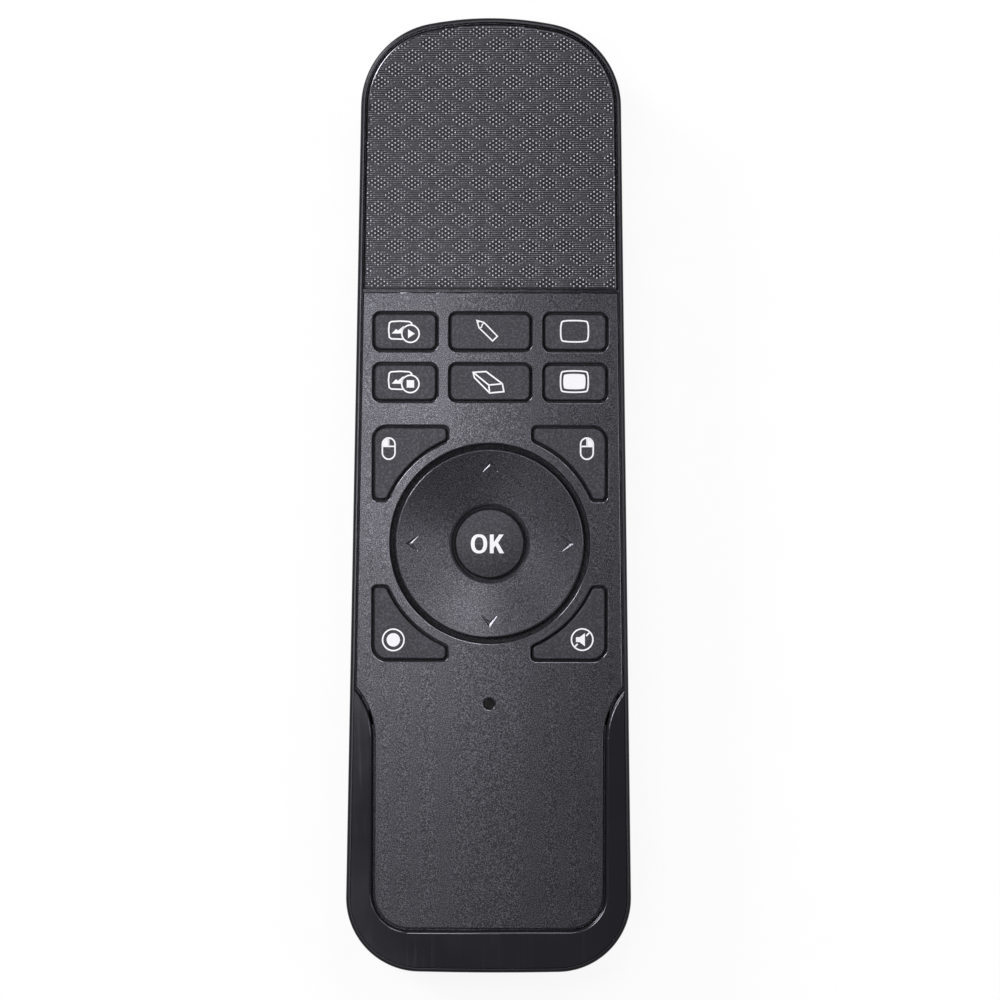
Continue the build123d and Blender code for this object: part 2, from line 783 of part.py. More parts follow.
# ================================================================== cover, band and pad
def make_top_cover():
    """Satin cover plate with the tray for the pad, the shelf for the band, and walls round the keys."""
    edge = outline(cover_inset)
    seam_rear = pad_edge - seam_width
    rear_of_pad = block((-reach_x, -half_length - margin, 0), (reach_x, seam_rear, above + margin))
    plate = prism(edge, 0, above) & rear_of_pad & prism(plate_field(), 0, above + margin)
    plate &= crown(0) - crown(plate_thickness)
    lower = skin(edge, pad_thickness + seat_gap, ledge_depth - seat_gap)
    window = prism(outline(frame_inset), 0, above)
    front_window = window & block((-reach_x, pad_edge + frame_rear, 0), (reach_x, half_length, above))
    field_front = seam_rear - seam_border
    field_rear = flare_start + shelf_front
    key_field = block((-reach_x, field_rear, 0), (reach_x, field_front, above))
    key_field &= prism(outline(lip_inset), 0, above)
    rear_window = prism(plate_field(-shelf_width), 0, above)
    rear_window &= block((-reach_x, -half_length, 0), (reach_x, field_rear + overlap, above))
    cover = plate + (lower - front_window - key_field - rear_window)
    outer = prism(edge, 0, above) & crown(pad_thickness)
    collars = Part()
    for shape in key_shapes.values():
        collars += prism(shape(collar_width), collar_level, above)
    collars += rod(0, dpad_y, dpad_opening_radius + collar_width, collar_level, above)
    cover += collars & outer
    cover += cover_ribs() & crown(pad_thickness)
    cover += hooks()
    for shape in key_shapes.values():
        cover -= prism(shape(), 0, above)
    cover -= rod(0, dpad_y, dpad_opening_radius, 0, above)
    cover -= rod(0, light_y, light_radius, 0, above)
    return fillet(on_crown(cover), edge_break)


def cover_ribs():
    """Stiffening ribs under the tail half of the plate, and the socket of the light guide."""
    ribs = Part()
    reach = field_half_width - rib_side_gap
    half = rib_thickness / 2
    bottom = roof_top + rib_clearance
    for index in range(rib_count):
        station = field_end + rib_start + index * rib_spacing
        ribs += block((-reach, station - half, bottom), (reach, station + half, above))
    return ribs + rod(0, light_y, light_radius + rib_thickness, collar_level, above)


def hooks():
    """Snap hooks along the sides of the cover."""
    bottom, top = hook_levels()
    made = Part()
    for station in hook_stations:
        x = hook_seat(station)
        half = hook_width / 2
        tab = block((x - hook_thickness, station - half, bottom), (x, station + half, above))
        slope = [
            (x, bottom),
            (x + barb_reach + slip_gap, top - barb_tip),
            (x + barb_reach + slip_gap, top),
            (x, top),
        ]
        profile = Polyline(*[(px, 0, pz) for px, pz in slope], close=True)
        barb = extrude(make_face(profile), half, dir=(0, 1, 0), both=True)
        made += tab + Pos(0, station, 0) * barb
    return both_sides(made) & crown(pad_thickness)


def make_tail_band():
    """U-shaped gloss band between the plate and the rim."""
    body = skin(outline(rim_width + band_seam), 0, band_thickness)
    body &= block((-reach_x, -half_length - margin, 0), (reach_x, 0, above + margin))
    body -= prism(plate_field(band_gap), 0, above + margin)
    within = outline(rim_width + 2 * band_seam)
    lip = on_crown(body).filter_by(lambda edge: over(within, edge @ 0.5))
    return fillet(lip, band_round)


def make_touchpad_surface():
    """Touch plate at the nose end, with a flat boss behind it for the sensor board."""
    front = block((-reach_x, pad_edge, 0), (reach_x, half_length + margin, above + margin))
    plate = skin(outline(cover_inset), 0, pad_thickness) & front
    sides = on_crown(plate).filter_by(lambda edge: (edge @ 0.5).Y > pad_edge + edge_break)
    plate = fillet(sides, pad_round)
    seam = on_crown(plate).filter_by(lambda edge: (edge @ 0.5).Y < pad_edge + edge_break)
    plate = fillet(seam, pad_edge_round)
    inner = block((-reach_x, pad_edge + pad_boss_rear, 0), (reach_x, half_length, above))
    boss = prism(outline(pad_boss_inset), boss_level(), above) & crown(pad_thickness / 2) & inner
    return plate + boss


def boss_level():
    """Flat underside of the touch plate's boss."""
    return body_height - pad_thickness - 2 * pad_boss_drop


# ================================================================== ring, OK key and what they stand on
def ring_levels():
    """Levels of the ring: its outer edge, inner edge, flange top and flange bottom."""
    outer = body_height + ring_edge_rise
    lean = math.sin(math.radians(ring_tilt * math.sqrt(2)))
    flange = collar_level - ring_flange_radius * lean - flange_play
    return outer, outer - ring_dish, flange, flange - flange_thickness


def direction_tip():
    """Level of the nubs under the ring, clear of the domes at full tilt."""
    lean = math.sin(math.radians(ring_tilt * math.sqrt(2)))
    return dome_top + (direction_radius + nub_radius) * lean + pressing_room


def rocker_level():
    """Underside of the rocker plate."""
    return board_top + rocker_rise


def make_dpad_ring():
    """Dished ring with a rounded shoulder, a hollow underside, four nubs and two pivot ribs."""
    outer, inner, flange, bottom = ring_levels()
    shoulder = ring_radius - ring_shoulder
    start = (ok_opening_radius + ring_chamfer, 0, inner)
    profile = [
        Edge.make_three_point_arc(
            start,
            ((start[0] + shoulder) / 2, 0, inner + ring_dish * 0.5**dish_power),
            (shoulder, 0, outer),
        ),
        Edge.make_three_point_arc(
            (shoulder, 0, outer),
            (
                shoulder + ring_shoulder * math.sqrt(0.5),
                0,
                outer - ring_shoulder * (1 - math.sqrt(0.5)),
            ),
            (ring_radius, 0, outer - ring_shoulder),
        ),
    ]
    roof = inner - ring_top_thickness
    tube = ok_opening_radius + ring_bore_wall
    foot = collar_level + slip_gap
    skirt = ring_radius - ring_wall
    rest = [
        (ring_radius, 0, outer - ring_shoulder),
        (ring_radius, 0, flange),
        (ring_flange_radius, 0, flange),
        (ring_flange_radius, 0, bottom),
        (skirt, 0, bottom),
        (skirt, 0, roof),
        (tube, 0, roof),
        (tube, 0, foot),
        (ok_opening_radius, 0, foot),
        (ok_opening_radius, 0, inner - ring_chamfer),
        start,
    ]
    profile += [Edge.make_line(a, b) for a, b in zip(rest, rest[1:])]
    ring = revolve(Face(Wire(profile)), axis=Axis.Z)
    for dx, dy in directions:
        ring += rod(direction_radius * dx, direction_radius * dy, nub_radius, direction_tip(), roof)
    seat = rocker_level() + rocker_thickness + seat_gap
    rib = block(
        (rocker_inner_radius, -pivot_width / 2, seat), (rocker_outer_radius, pivot_width / 2, roof)
    )
    ring += both_sides(rib)
    for turn in range(4):
        ring -= Rot(0, 0, 90 * turn) * chevron(inner)
    return Pos(0, dpad_y, 0) * ring


def chevron(inner_level):
    """Cutter for one engraved chevron that points along +Y."""
    tip = (0, chevron_radius)
    left = (-chevron_half_span, chevron_radius - chevron_depth)
    right = (chevron_half_span, chevron_radius - chevron_depth)
    stroke = trace(Polyline(left, tip, right), chevron_width)
    share = (chevron_radius - ok_opening_radius) / (ring_radius - ok_opening_radius)
    level = inner_level + ring_dish * share**dish_power - chevron_sink
    return extrude(Pos(0, 0, level) * stroke, 2 * chevron_sink, taper=-chevron_taper)


def make_ok_key():
    """Round key with a domed top, a flange and a stem."""
    top = ring_levels()[1] - ok_sink
    edge = top - ok_dome_rise
    crest = ok_key_radius - ok_bevel
    flange = flange_top - flange_play
    profile = [
        Edge.make_three_point_arc(
            (0, 0, top), (crest / 2, 0, top - ok_dome_rise * 0.25), (crest, 0, edge)
        )
    ]
    rest = [
        (crest, 0, edge),
        (ok_key_radius, 0, edge - ok_bevel),
        (ok_key_radius, 0, flange),
        (ok_flange_radius, 0, flange),
        (ok_flange_radius, 0, flange - flange_thickness),
        (stem_radius, 0, flange - flange_thickness),
        (stem_radius, 0, stem_tip),
        (0, 0, stem_tip),
        (0, 0, top),
    ]
    profile += [Edge.make_line(a, b) for a, b in zip(rest, rest[1:])]
    return Pos(0, dpad_y, 0) * revolve(Face(Wire(profile)), axis=Axis.Z)


def washer(inner, outer, bottom, top):
    """Flat ring round the OK key."""
    return Pos(0, dpad_y, (bottom + top) / 2) * (
        Cylinder(outer, top - bottom) - Cylinder(inner, top - bottom)
    )


def make_dpad_base():
    """Fixed ring on the board with two posts that the rocker stands on."""
    foot = board_top + base_thickness
    base = washer(rocker_inner_radius, rocker_outer_radius, board_top, foot)
    middle = (rocker_inner_radius + rocker_outer_radius) / 2
    for end in (1, -1):
        y = dpad_y + end * middle
        half = pivot_width / 2
        base += block((-half, y - half, board_top), (half, y + half, rocker_level() - seat_gap))
    return base


def make_dpad_rocker():
    """Thin plate that rocks on the base's posts and carries the ring at right angles to them."""
    level = rocker_level()
    return washer(rocker_inner_radius, rocker_outer_radius, level, level + rocker_thickness)


# ================================================================== electronics
def board_face():
    """Outline of the main board."""
    length = board_front - board_rear
    middle = (board_front + board_rear) / 2
    face = RectangleRounded(2 * board_half_width, length, board_corner_radius)
    return (Pos(0, middle) * face).face()


def make_main_board():
    """Main circuit board with its screw holes."""
    board = prism(board_face(), board_bottom, board_top)
    for x, y in screw_spots():
        board -= rod(x, y, screw_radius + slip_gap, 0, above)
    return board


def make_keypad_mat():
    """Silicone sheet on the board, open round every dome and under the ring."""
    length = mat_front - mat_rear
    middle = (mat_front + mat_rear) / 2
    sheet = RectangleRounded(2 * board_half_width, length, board_corner_radius)
    mat = on_board((Pos(0, middle) * sheet).face(), mat_thickness)
    for x, y in key_domes.values():
        mat -= rod(x, y, dome_radius + dome_hole_gap, 0, above)
    mat -= rod(0, dpad_y, ring_flange_radius + dome_hole_gap, 0, above)
    for x, y in screw_spots():
        mat -= rod(x, y, screw_head_radius + slip_gap, 0, above)
    return mat


def make_snap_domes():
    """Metal snap domes, one under each key and each direction of the ring."""
    foot = RegularPolygon(dome_radius, 8).face()
    crest = RegularPolygon(dome_crest_radius, 8).face()
    domes = Part()
    for x, y in dome_spots:
        domes += loft([Pos(x, y, board_top) * foot, Pos(x, y, dome_top) * crest], ruled=True)
    return domes


def make_circuit_chips():
    """Chips under the board, beside the slide switch and in front of the battery bay."""
    chips = [(x, slider_y + y, *size) for x, y, *size in slider_chips]
    chips += [(x, bay_front + y, *size) for x, y, *size in bay_chips]
    made = Part()
    for x, y, width, depth, height in chips:
        low = (x - width / 2, y - depth / 2, board_bottom - height)
        made += block(low, (x + width / 2, y + depth / 2, board_bottom))
    return made


def make_board_screws():
    """Four pan-head screws with a cross slot."""
    made = Part()
    for x, y in screw_spots():
        head = rod(x, y, screw_head_radius, board_top, board_top + screw_head_height)
        shank = rod(x, y, screw_radius - screw_bite, board_bottom - screw_length, board_top)
        slot_low = board_top + screw_head_height / 2
        for wide, deep in (screw_slot, screw_slot[::-1]):
            head -= block((x - wide / 2, y - deep / 2, slot_low), (x + wide / 2, y + deep / 2, above))
        made += head + shank
    return made


def make_flex_connector():
    """Connector for the touch board's flat cable."""
    half = connector_width / 2
    body = block(
        (-half, connector_rear, board_top), (half, board_front, board_top + connector_height)
    )
    mouth = touch_flex_width / 2 + slip_gap
    rear = connector_rear + connector_back
    level = flex_level()
    gap = touch_flex_thickness / 2 + seat_gap
    return body - block((-mouth, rear, level - gap), (mouth, board_front, level + gap))


def flex_level():
    """Level at which the flat cable enters its connector."""
    return board_top + connector_mouth


def make_touch_flex():
    """Flat cable from the connector, round in a U, to the underside of the touch board."""
    low = flex_level()
    high = touch_board_bottom() - seat_gap - touch_flex_thickness / 2
    radius = (high - low) / 2
    bend = board_front + flex_bend_start
    start = Vector(0, connector_rear + connector_back + slip_gap, low)
    path = [
        Edge.make_line(start, Vector(0, bend, low)),
        Edge.make_three_point_arc(
            Vector(0, bend, low), Vector(0, bend + radius, low + radius), Vector(0, bend, high)
        ),
        Edge.make_line(Vector(0, bend, high), Vector(0, pad_edge + flex_overlap, high)),
    ]
    strip = Rectangle(touch_flex_width, touch_flex_thickness)
    section = Plane(start, x_dir=(1, 0, 0), z_dir=(0, 1, 0)) * strip
    return sweep(section, path=Wire(path))


def touch_board_bottom():
    """Underside of the touch sensor board."""
    return boss_level() - touch_board_thickness


def make_touch_sensor_board():
    """Sensor board bonded to the boss of the touch plate."""
    board = prism(outline(pad_boss_inset), touch_board_bottom(), boss_level())
    return board & block((-reach_x, pad_edge + pad_boss_rear, 0), (reach_x, half_length, above))


def make_status_led():
    """Surface-mounted light on the board."""
    wide, deep, height = led_size
    low = (-wide / 2, light_y - deep / 2, board_top)
    return block(low, (wide / 2, light_y + deep / 2, board_top + height))


def make_led_light_pipe():
    """Light guide with a foot under the cover, its end just inside the hole."""
    foot_top = collar_level - seat_gap
    foot = rod(0, light_y, light_radius + light_foot, foot_top - light_foot, foot_top)
    bottom = board_top + led_size[2] + led_gap
    return foot + rod(0, light_y, light_radius - seat_gap, bottom, body_height - light_sink)


# ================================================================== battery bay
def make_battery_cells():
    """Two AAA cells side by side, facing opposite ways."""
    made = Part()
    for side in (-1, 1):
        body = cell_length - cell_button_height
        tip = contact_thickness + contact_dimple
        cell = rod_along_y(0, 0, cell_radius, 0, body)
        cell = fillet(cell.edges(), cell_round)
        cell += rod_along_y(0, 0, cell_button_radius, body - overlap, cell_length)
        if side < 0:
            placed = Pos(side * cell_spacing / 2, bay_front - tip - cell_length, cell_level) * cell
        else:
            turned = Rot(0, 0, 180) * cell
            placed = Pos(side * cell_spacing / 2, bay_rear + tip + cell_length, cell_level) * turned
        made += placed
    return made


def contact_spring_strip(x, plate_y, toward):
    """Bowed spring strip on a contact plate, towards +Y or -Y."""
    half = contact_spring_half
    rise = toward * (contact_spring + contact_thickness / 2)
    root = plate_y + toward * contact_thickness / 2
    bow = Edge.make_three_point_arc((x - half, root), (x, plate_y + rise), (x + half, root))
    strip = Pos(0, 0, cell_level - contact_spring_width / 2) * trace(bow, contact_thickness)
    return extrude(strip, contact_spring_width, dir=(0, 0, 1))


def make_battery_contacts():
    """Link plate at the tail end and two end plates at the front, with springs and dimples."""
    wide, tall = contact_half_size
    low = cell_level - tall
    high = cell_level + tall
    half = cell_spacing / 2
    rear = bay_rear + contact_thickness
    front = bay_front - contact_thickness
    dimple = contact_dimple_radius
    link = block((-half - wide, bay_rear, low), (half + wide, rear, high))
    link += contact_spring_strip(-half, bay_rear, 1)
    link += rod_along_y(half, cell_level, dimple, bay_rear, rear + contact_dimple)
    minus = block((half - wide, front, low), (half + wide, bay_front, high))
    minus += contact_spring_strip(half, bay_front, -1)
    plus = block((-half - wide, front, low), (-half + wide, bay_front, high))
    plus += rod_along_y(-half, cell_level, dimple, front - contact_dimple, bay_front)
    return Part() + [link, minus, plus]


def make_battery_door():
    """Sliding door: flush skin that wraps round the tail, side tongues, front tab and grip grooves."""
    x = bay_half_width - slip_gap
    skin_block = block((-x, -half_length - margin, -1), (x, door_front, door_thickness))
    tail = door_lip_thickness - half_length
    lip_block = block((-x, -half_length - margin, -1), (x, tail, door_lip_height))
    tongue_bottom = floor_thickness + seat_gap
    tongue_top = tongue_bottom + door_tongue_thickness
    reach = bay_half_width + door_tongue
    inner = x - door_rail
    rail = block((inner, tail, door_rail_level), (x, door_front, tongue_top))
    body = hull() & (skin_block + lip_block + both_sides(rail))
    body += both_sides(block((inner, tail, tongue_bottom), (reach, door_front, tongue_top)))
    half, root, tip = door_tab
    rear = door_front - root
    body += block((-half, rear, door_rail_level), (half, door_front, tongue_top))
    body += block((-half, rear, tongue_bottom), (half, door_front + tip, tongue_top))
    for index in range(grip_count):
        y = door_front - grip_start - index * grip_spacing
        body -= Pos(0, y, 0) * Rot(0, 90, 0) * Cylinder(grip_depth, grip_width)
    return body


# ================================================================== receiver
def make_receiver_cap():
    """Moulded end of the receiver, flush with the tail."""
    face = RectangleRounded(receiver_width, receiver_height, receiver_corner).face()
    length = receiver_cap_length + margin
    cap = Pos(0, -half_length - margin, receiver_level) * Rot(-90, 0, 0) * extrude(face, length)
    return cap & hull(slip_gap, slip_gap)


def make_receiver_shell():
    """Folded metal shell of the plug, with its two square windows."""
    rear = receiver_cap_length - half_length
    front = rear + plug_length
    half_x = plug_width / 2
    half_z = plug_height / 2
    shell = block((-half_x, rear, receiver_level - half_z), (half_x, front, receiver_level + half_z))
    shell -= block(
        (-half_x + plug_wall, rear, receiver_level - half_z + plug_wall),
        (half_x - plug_wall, front + overlap, receiver_level + half_z - plug_wall),
    )
    offset, wide, long = plug_windows
    end = front - plug_window_end
    return shell - both_sides(block((offset - wide / 2, end - long, 0), (offset + wide / 2, end, above)))


def make_receiver_tongue():
    """Insulating tongue inside the plug."""
    rear = receiver_cap_length - half_length
    low = receiver_level - plug_height / 2 + plug_wall
    half = plug_width / 2 - plug_wall
    return block((-half, rear, low), (half, rear + plug_length - tongue_gap, low + tongue_height))


def make_receiver_pins():
    """Four contact strips on the tongue."""
    rear = receiver_cap_length - half_length + pin_ends[0]
    front = receiver_cap_length - half_length + plug_length - pin_ends[1]
    low = receiver_level - plug_height / 2 + plug_wall + tongue_height
    half = pin_width / 2
    pins = Part()
    for place in (-1.5, -0.5, 0.5, 1.5):
        x = place * pin_spacing
        pins += block((x - half, rear, low), (x + half, front, low + pin_thickness))
    return pins


# ================================================================== power slider and laser
def make_power_slider():
    """Slider knob in the back, with its neck, its inside flange and the fork that moves the lever."""
    knob_x, knob_y = slider_knob
    shift = -slider_travel / 2
    floor_level = slider_floor()
    low = back_level(slider_y - knob_y / 2) + slider_sink
    knob = block((-knob_x / 2, -knob_y / 2, low), (knob_x / 2, knob_y / 2, floor_level - seat_gap))
    groove = slider_rib_gap / 2
    for place in (-1.5, -0.5, 0.5, 1.5):
        x = place * slider_rib_spacing
        knob -= block((x - groove, -knob_y, 0), (x + groove, knob_y, low + slider_sink))
    wide, deep, thick = slider_flange
    base = floor_level + slider_pad_thickness + seat_gap
    half = slider_neck / 2
    neck = block((-half, -half, low + 2 * slider_sink), (half, half, base + thick))
    flange = block((-wide / 2, -deep / 2, base), (wide / 2, deep / 2, base + thick))
    prong = lever_width / 2 + seat_gap
    side = prong + stalk_wall
    top = board_bottom - switch_size[2] - stalk_gap
    stalk = block((-side, -stalk_half_depth, base), (side, stalk_half_depth, top))
    fork = lever_bottom() - slip_gap
    stalk -= block((-prong, -2 * stalk_half_depth, fork), (prong, 2 * stalk_half_depth, above))
    return Pos(shift, slider_y, 0) * (knob + neck + flange + stalk)


def lever_bottom():
    """Lower end of the slide switch's lever."""
    return board_bottom - switch_size[2] - lever_length


def make_switch_lever():
    """Lever of the slide switch, held in the slider's fork."""
    half = lever_width / 2
    top = board_bottom - switch_size[2] - seat_gap
    lever = block((-half, -half, lever_bottom()), (half, half, top))
    return Pos(-slider_travel / 2, slider_y, 0) * lever


def make_power_switch():
    """Slide switch under the board."""
    wide, deep, height = switch_size
    low = board_bottom - height
    back = (-wide / 2, slider_y - deep / 2, low)
    return block(back, (wide / 2, slider_y + deep / 2, board_bottom))


def make_laser_module():
    """Laser barrel: brass body with a collar and a light hole in its front."""
    rear = laser_front - laser_length
    barrel = rod_along_y(0, laser_level, laser_radius, rear, laser_front)
    (front_wall, front_depth), (rear_wall, rear_depth) = laser_recesses
    mouth = laser_front - front_depth
    barrel -= rod_along_y(0, laser_level, laser_radius - front_wall, mouth, laser_front)
    return barrel - rod_along_y(0, laser_level, laser_radius - rear_wall, rear, rear + rear_depth)


def make_laser_window():
    """Clear disc in the nose."""
    rear = half_length - laser_window_sink - laser_window_thickness
    disc = rod_along_y(0, laser_level, laser_window_radius, rear, half_length + margin)
    return disc & hull(slip_gap, slip_gap)


def make_laser_leads():
    """Two wires from the laser barrel to the underside of the board."""
    rear = laser_front - laser_length
    low = board_bottom - lead_radius - seat_gap
    leads = Part()
    for x in (-lead_spacing / 2, lead_spacing / 2):
        points = [
            (x, rear + laser_recesses[1][1] - seat_gap, laser_level),
            (x, rear - lead_straight, laser_level),
            (x, rear - lead_drop, low - lead_sag),
            (x, board_front - lead_end[0], low),
            (x, board_front - lead_end[1], low),
        ]
        path = FilletPolyline(*points, radius=lead_bend)
        section = Plane(points[0], z_dir=(0, -1, 0)) * Circle(lead_radius)
        leads += sweep(section, path=path)
    return leads


# ================================================================== write the parts
nodes = {
    "lower_housing": make_lower_housing,
    "top_cover": make_top_cover,
    "tail_band": make_tail_band,
    "touchpad_surface": make_touchpad_surface,
    "touch_sensor_board": make_touch_sensor_board,
    "touch_flex": make_touch_flex,
    "flex_connector": make_flex_connector,
    "main_board": make_main_board,
    "circuit_chips": make_circuit_chips,
    "board_screws": make_board_screws,
    "keypad_mat": make_keypad_mat,
    "snap_domes": make_snap_domes,
    "dpad_base": make_dpad_base,
    "dpad_rocker": make_dpad_rocker,
    "dpad_ring": make_dpad_ring,
    "ok_key": make_ok_key,
    "status_led": make_status_led,
    "led_light_pipe": make_led_light_pipe,
    "battery_cells": make_battery_cells,
    "battery_contacts": make_battery_contacts,
    "battery_door": make_battery_door,
    "receiver_cap": make_receiver_cap,
    "receiver_shell": make_receiver_shell,
    "receiver_tongue": make_receiver_tongue,
    "receiver_pins": make_receiver_pins,
    "power_slider": make_power_slider,
    "switch_lever": make_switch_lever,
    "power_switch": make_power_switch,
    "laser_module": make_laser_module,
    "laser_window": make_laser_window,
    "laser_leads": make_laser_leads,
}

for name, make in nodes.items():
    export_step(make(), f"parts/{name}.step")
for name, shape in key_shapes.items():
    export_step(make_key(shape, key_domes[name]), f"parts/{name}.step")
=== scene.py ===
import logging
import math
from dataclasses import dataclass, field
from enum import Enum
from typing import Callable, Sequence

import bmesh
import bpy
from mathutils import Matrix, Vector
from mathutils.geometry import tessellate_polygon


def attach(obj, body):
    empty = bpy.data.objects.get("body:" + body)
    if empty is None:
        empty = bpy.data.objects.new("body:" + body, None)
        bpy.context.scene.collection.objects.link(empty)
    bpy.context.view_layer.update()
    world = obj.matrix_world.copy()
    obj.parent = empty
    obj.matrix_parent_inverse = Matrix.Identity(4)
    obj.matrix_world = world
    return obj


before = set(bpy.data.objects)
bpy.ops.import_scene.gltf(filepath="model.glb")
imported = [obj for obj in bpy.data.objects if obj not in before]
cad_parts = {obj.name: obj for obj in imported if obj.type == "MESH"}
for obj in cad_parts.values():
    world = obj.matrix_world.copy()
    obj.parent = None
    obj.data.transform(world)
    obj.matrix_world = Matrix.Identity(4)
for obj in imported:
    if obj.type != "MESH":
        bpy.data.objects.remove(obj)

log = logging.getLogger("clicker")

Point = tuple[float, float]
Colour = tuple[float, float, float]
Socket = bpy.types.NodeSocket

MM = 0.001  # one millimetre in Blender's metres
COOL = (0.91, 0.9, 1.0, 1.0)  # tint of what dark plastic reflects
NOISE_SPAN = (0.3, 0.7)  # where most values of a noise lie
PAD_MIDDLE = -7.33  # Y of the direction pad's middle
MITRE_LIMIT = 0.25  # keeps the mitre of a sharp corner from shooting out


# ---------------------------------------------------------------------------------- finishes
class Graph:
    """Node tree of one material, with short ways to add and join nodes."""

    # Painted shade: colours are darkened towards the bottom of gaps, down to this share.
    PAINTED_GAP_SHADE_SHARE: float = 0.65  # share of the colour left at the bottom of a gap
    WALL_FADE: float = 0.2  # spans of the normal's upward part over which a rounding starts and ends
    TOP_FADE: float = 0.03
    SPECK_LEVELS: Point = (0.45, 0.7)  # span of the noise that turns into specks
    SPECK_DARK: float = 0.5  # how far the ground falls and the specks rise, at full strength
    SPECK_LIGHT: float = 1.5
    MIX_SOCKETS: tuple[int, int, int] = (6, 7, 2)  # a Mix node's two colour inputs and colour output

    def __init__(self, name: str) -> None:
        """Start a material with its shader and the coordinates of the piece it is on.

        Args:
            name: Name of the material.
        """
        self.material = bpy.data.materials.new(name)
        self.material.use_nodes = True
        self.tree = self.material.node_tree
        self.shader = self.tree.nodes["Principled BSDF"]
        coordinates = self.tree.nodes.new("ShaderNodeTexCoord")
        self.place: Socket = coordinates.outputs["Object"]
        self.normal: Socket = coordinates.outputs["Normal"]

    def painted_gap_shade(self, levels: Point) -> Socket:
        """Painted shade: a colour factor that darkens the surface where it lies down in a gap.

        Args:
            levels: Height in millimetres of the dark end, and where the light starts.

        Returns:
            A value from the painted gap shade's share to 1 in the open.
        """
        height = self.separate(self.place)["Z"]
        return self.fit(height, (levels[0] * MM, levels[1] * MM), (self.PAINTED_GAP_SHADE_SHARE, 1.0))

    def rounding(self, wall: float = 0.15, top: float = 0.985) -> Socket:
        """Where a piece is rounded over between its top and its walls.

        Args:
            wall: Upward part of the normal at which the wall ends.
            top: The same where the top starts.

        Returns:
            A value from 0 on tops and walls to 1 on rounded edges.
        """
        up = self.separate(self.normal)["Z"]
        from_wall = self.fit(up, (wall, wall + self.WALL_FADE), (0.0, 1.0))
        from_top = self.fit(up, (top - self.TOP_FADE, top), (1.0, 0.0))
        return self.maths("MULTIPLY", from_wall, from_top)

    def node(self, kind: str, **settings: object) -> bpy.types.Node:
        """Add a node.

        Args:
            kind: Blender's name of the node type.
            settings: Properties to set on it.

        Returns:
            The new node.
        """
        made = self.tree.nodes.new(kind)
        for key, value in settings.items():
            setattr(made, key, value)
        return made

    def join(self, source: Socket, target: Socket) -> None:
        """Link one socket into another."""
        self.tree.links.new(source, target)

    def stretched(self, stretch: Sequence[float]) -> Socket:
        """Coordinates squeezed along the axes, for grain that runs one way.

        Args:
            stretch: Factor on each axis.

        Returns:
            The stretched coordinates.
        """
        mapping = self.node("ShaderNodeMapping")
        mapping.inputs["Scale"].default_value = tuple(stretch)
        self.join(self.place, mapping.inputs["Vector"])
        return mapping.outputs["Vector"]

    def noise(self, size: float, detail: float = 2.0, place: Socket | None = None) -> Socket:
        """Cloudy noise.

        Args:
            size: Size of its patches in millimetres.
            detail: Finer octaves that are added.
            place: Coordinates, when not the piece's own.

        Returns:
            A value from 0 to 1.
        """
        made = self.node("ShaderNodeTexNoise", noise_dimensions="3D")
        made.inputs["Scale"].default_value = 1 / (size * MM)
        made.inputs["Detail"].default_value = detail
        self.join(place or self.place, made.inputs["Vector"])
        return made.outputs["Fac"]

    def specks(self, size: float, strength: float, dark: Point | None = None) -> Socket:
        """Fine light specks on a slightly darker ground, both darkened by painted shade down in the gaps.

        Args:
            size: Size of a speck in millimetres.
            strength: How strongly they stand out, 0 for not at all.
            dark: Heights between which painted shade darkens a gap, where the piece lies in one.

        Returns:
            A factor round 1.
        """
        spread = (1 - self.SPECK_DARK * strength, 1 + self.SPECK_LIGHT * strength)
        factor = self.fit(self.noise(size, 1.0), self.SPECK_LEVELS, spread)
        if dark is None:
            return factor
        return self.maths("MULTIPLY", factor, self.painted_gap_shade(dark))

    def vector(self, operation: str, first: Socket, second: Socket | Sequence[float] | None = None) -> Socket:
        """Work out a vector.

        Args:
            operation: Blender's name of the operation.
            first: The vector that it starts from.
            second: Second vector, a socket or plain numbers, where the operation takes one.

        Returns:
            The new vector.
        """
        made = self.node("ShaderNodeVectorMath", operation=operation)
        self.join(first, made.inputs[0])
        if isinstance(second, tuple):
            made.inputs[1].default_value = second
        elif second is not None:
            self.join(second, made.inputs[1])
        return made.outputs[0]

    def scaled(self, colour: Socket, factor: Socket) -> Socket:
        """Make a colour lighter or darker.

        Args:
            colour: The colour.
            factor: What it is multiplied by.

        Returns:
            The new colour.
        """
        made = self.node("ShaderNodeVectorMath", operation="SCALE")
        self.join(colour, made.inputs[0])
        self.join(factor, made.inputs["Scale"])
        return made.outputs[0]

    def fit(self, value: Socket, source: Point, target: Point) -> Socket:
        """Map one range of values to another and hold it there.

        Args:
            value: The value.
            source: Range that it comes in.
            target: Range that it goes to.

        Returns:
            The mapped value.
        """
        made = self.node("ShaderNodeMapRange")
        self.join(value, made.inputs["Value"])
        for name, number in zip(("From Min", "From Max", "To Min", "To Max"), (*source, *target)):
            made.inputs[name].default_value = number
        return made.outputs["Result"]

    def maths(self, operation: str, first: Socket, second: Socket | float) -> Socket:
        """Join two values by arithmetic.

        Args:
            operation: Blender's name of the operation.
            first: First value.
            second: Second value, a socket or a number.

        Returns:
            The result.
        """
        made = self.node("ShaderNodeMath", operation=operation)
        self.join(first, made.inputs[0])
        if isinstance(second, (int, float)):
            made.inputs[1].default_value = second
        else:
            self.join(second, made.inputs[1])
        return made.outputs[0]

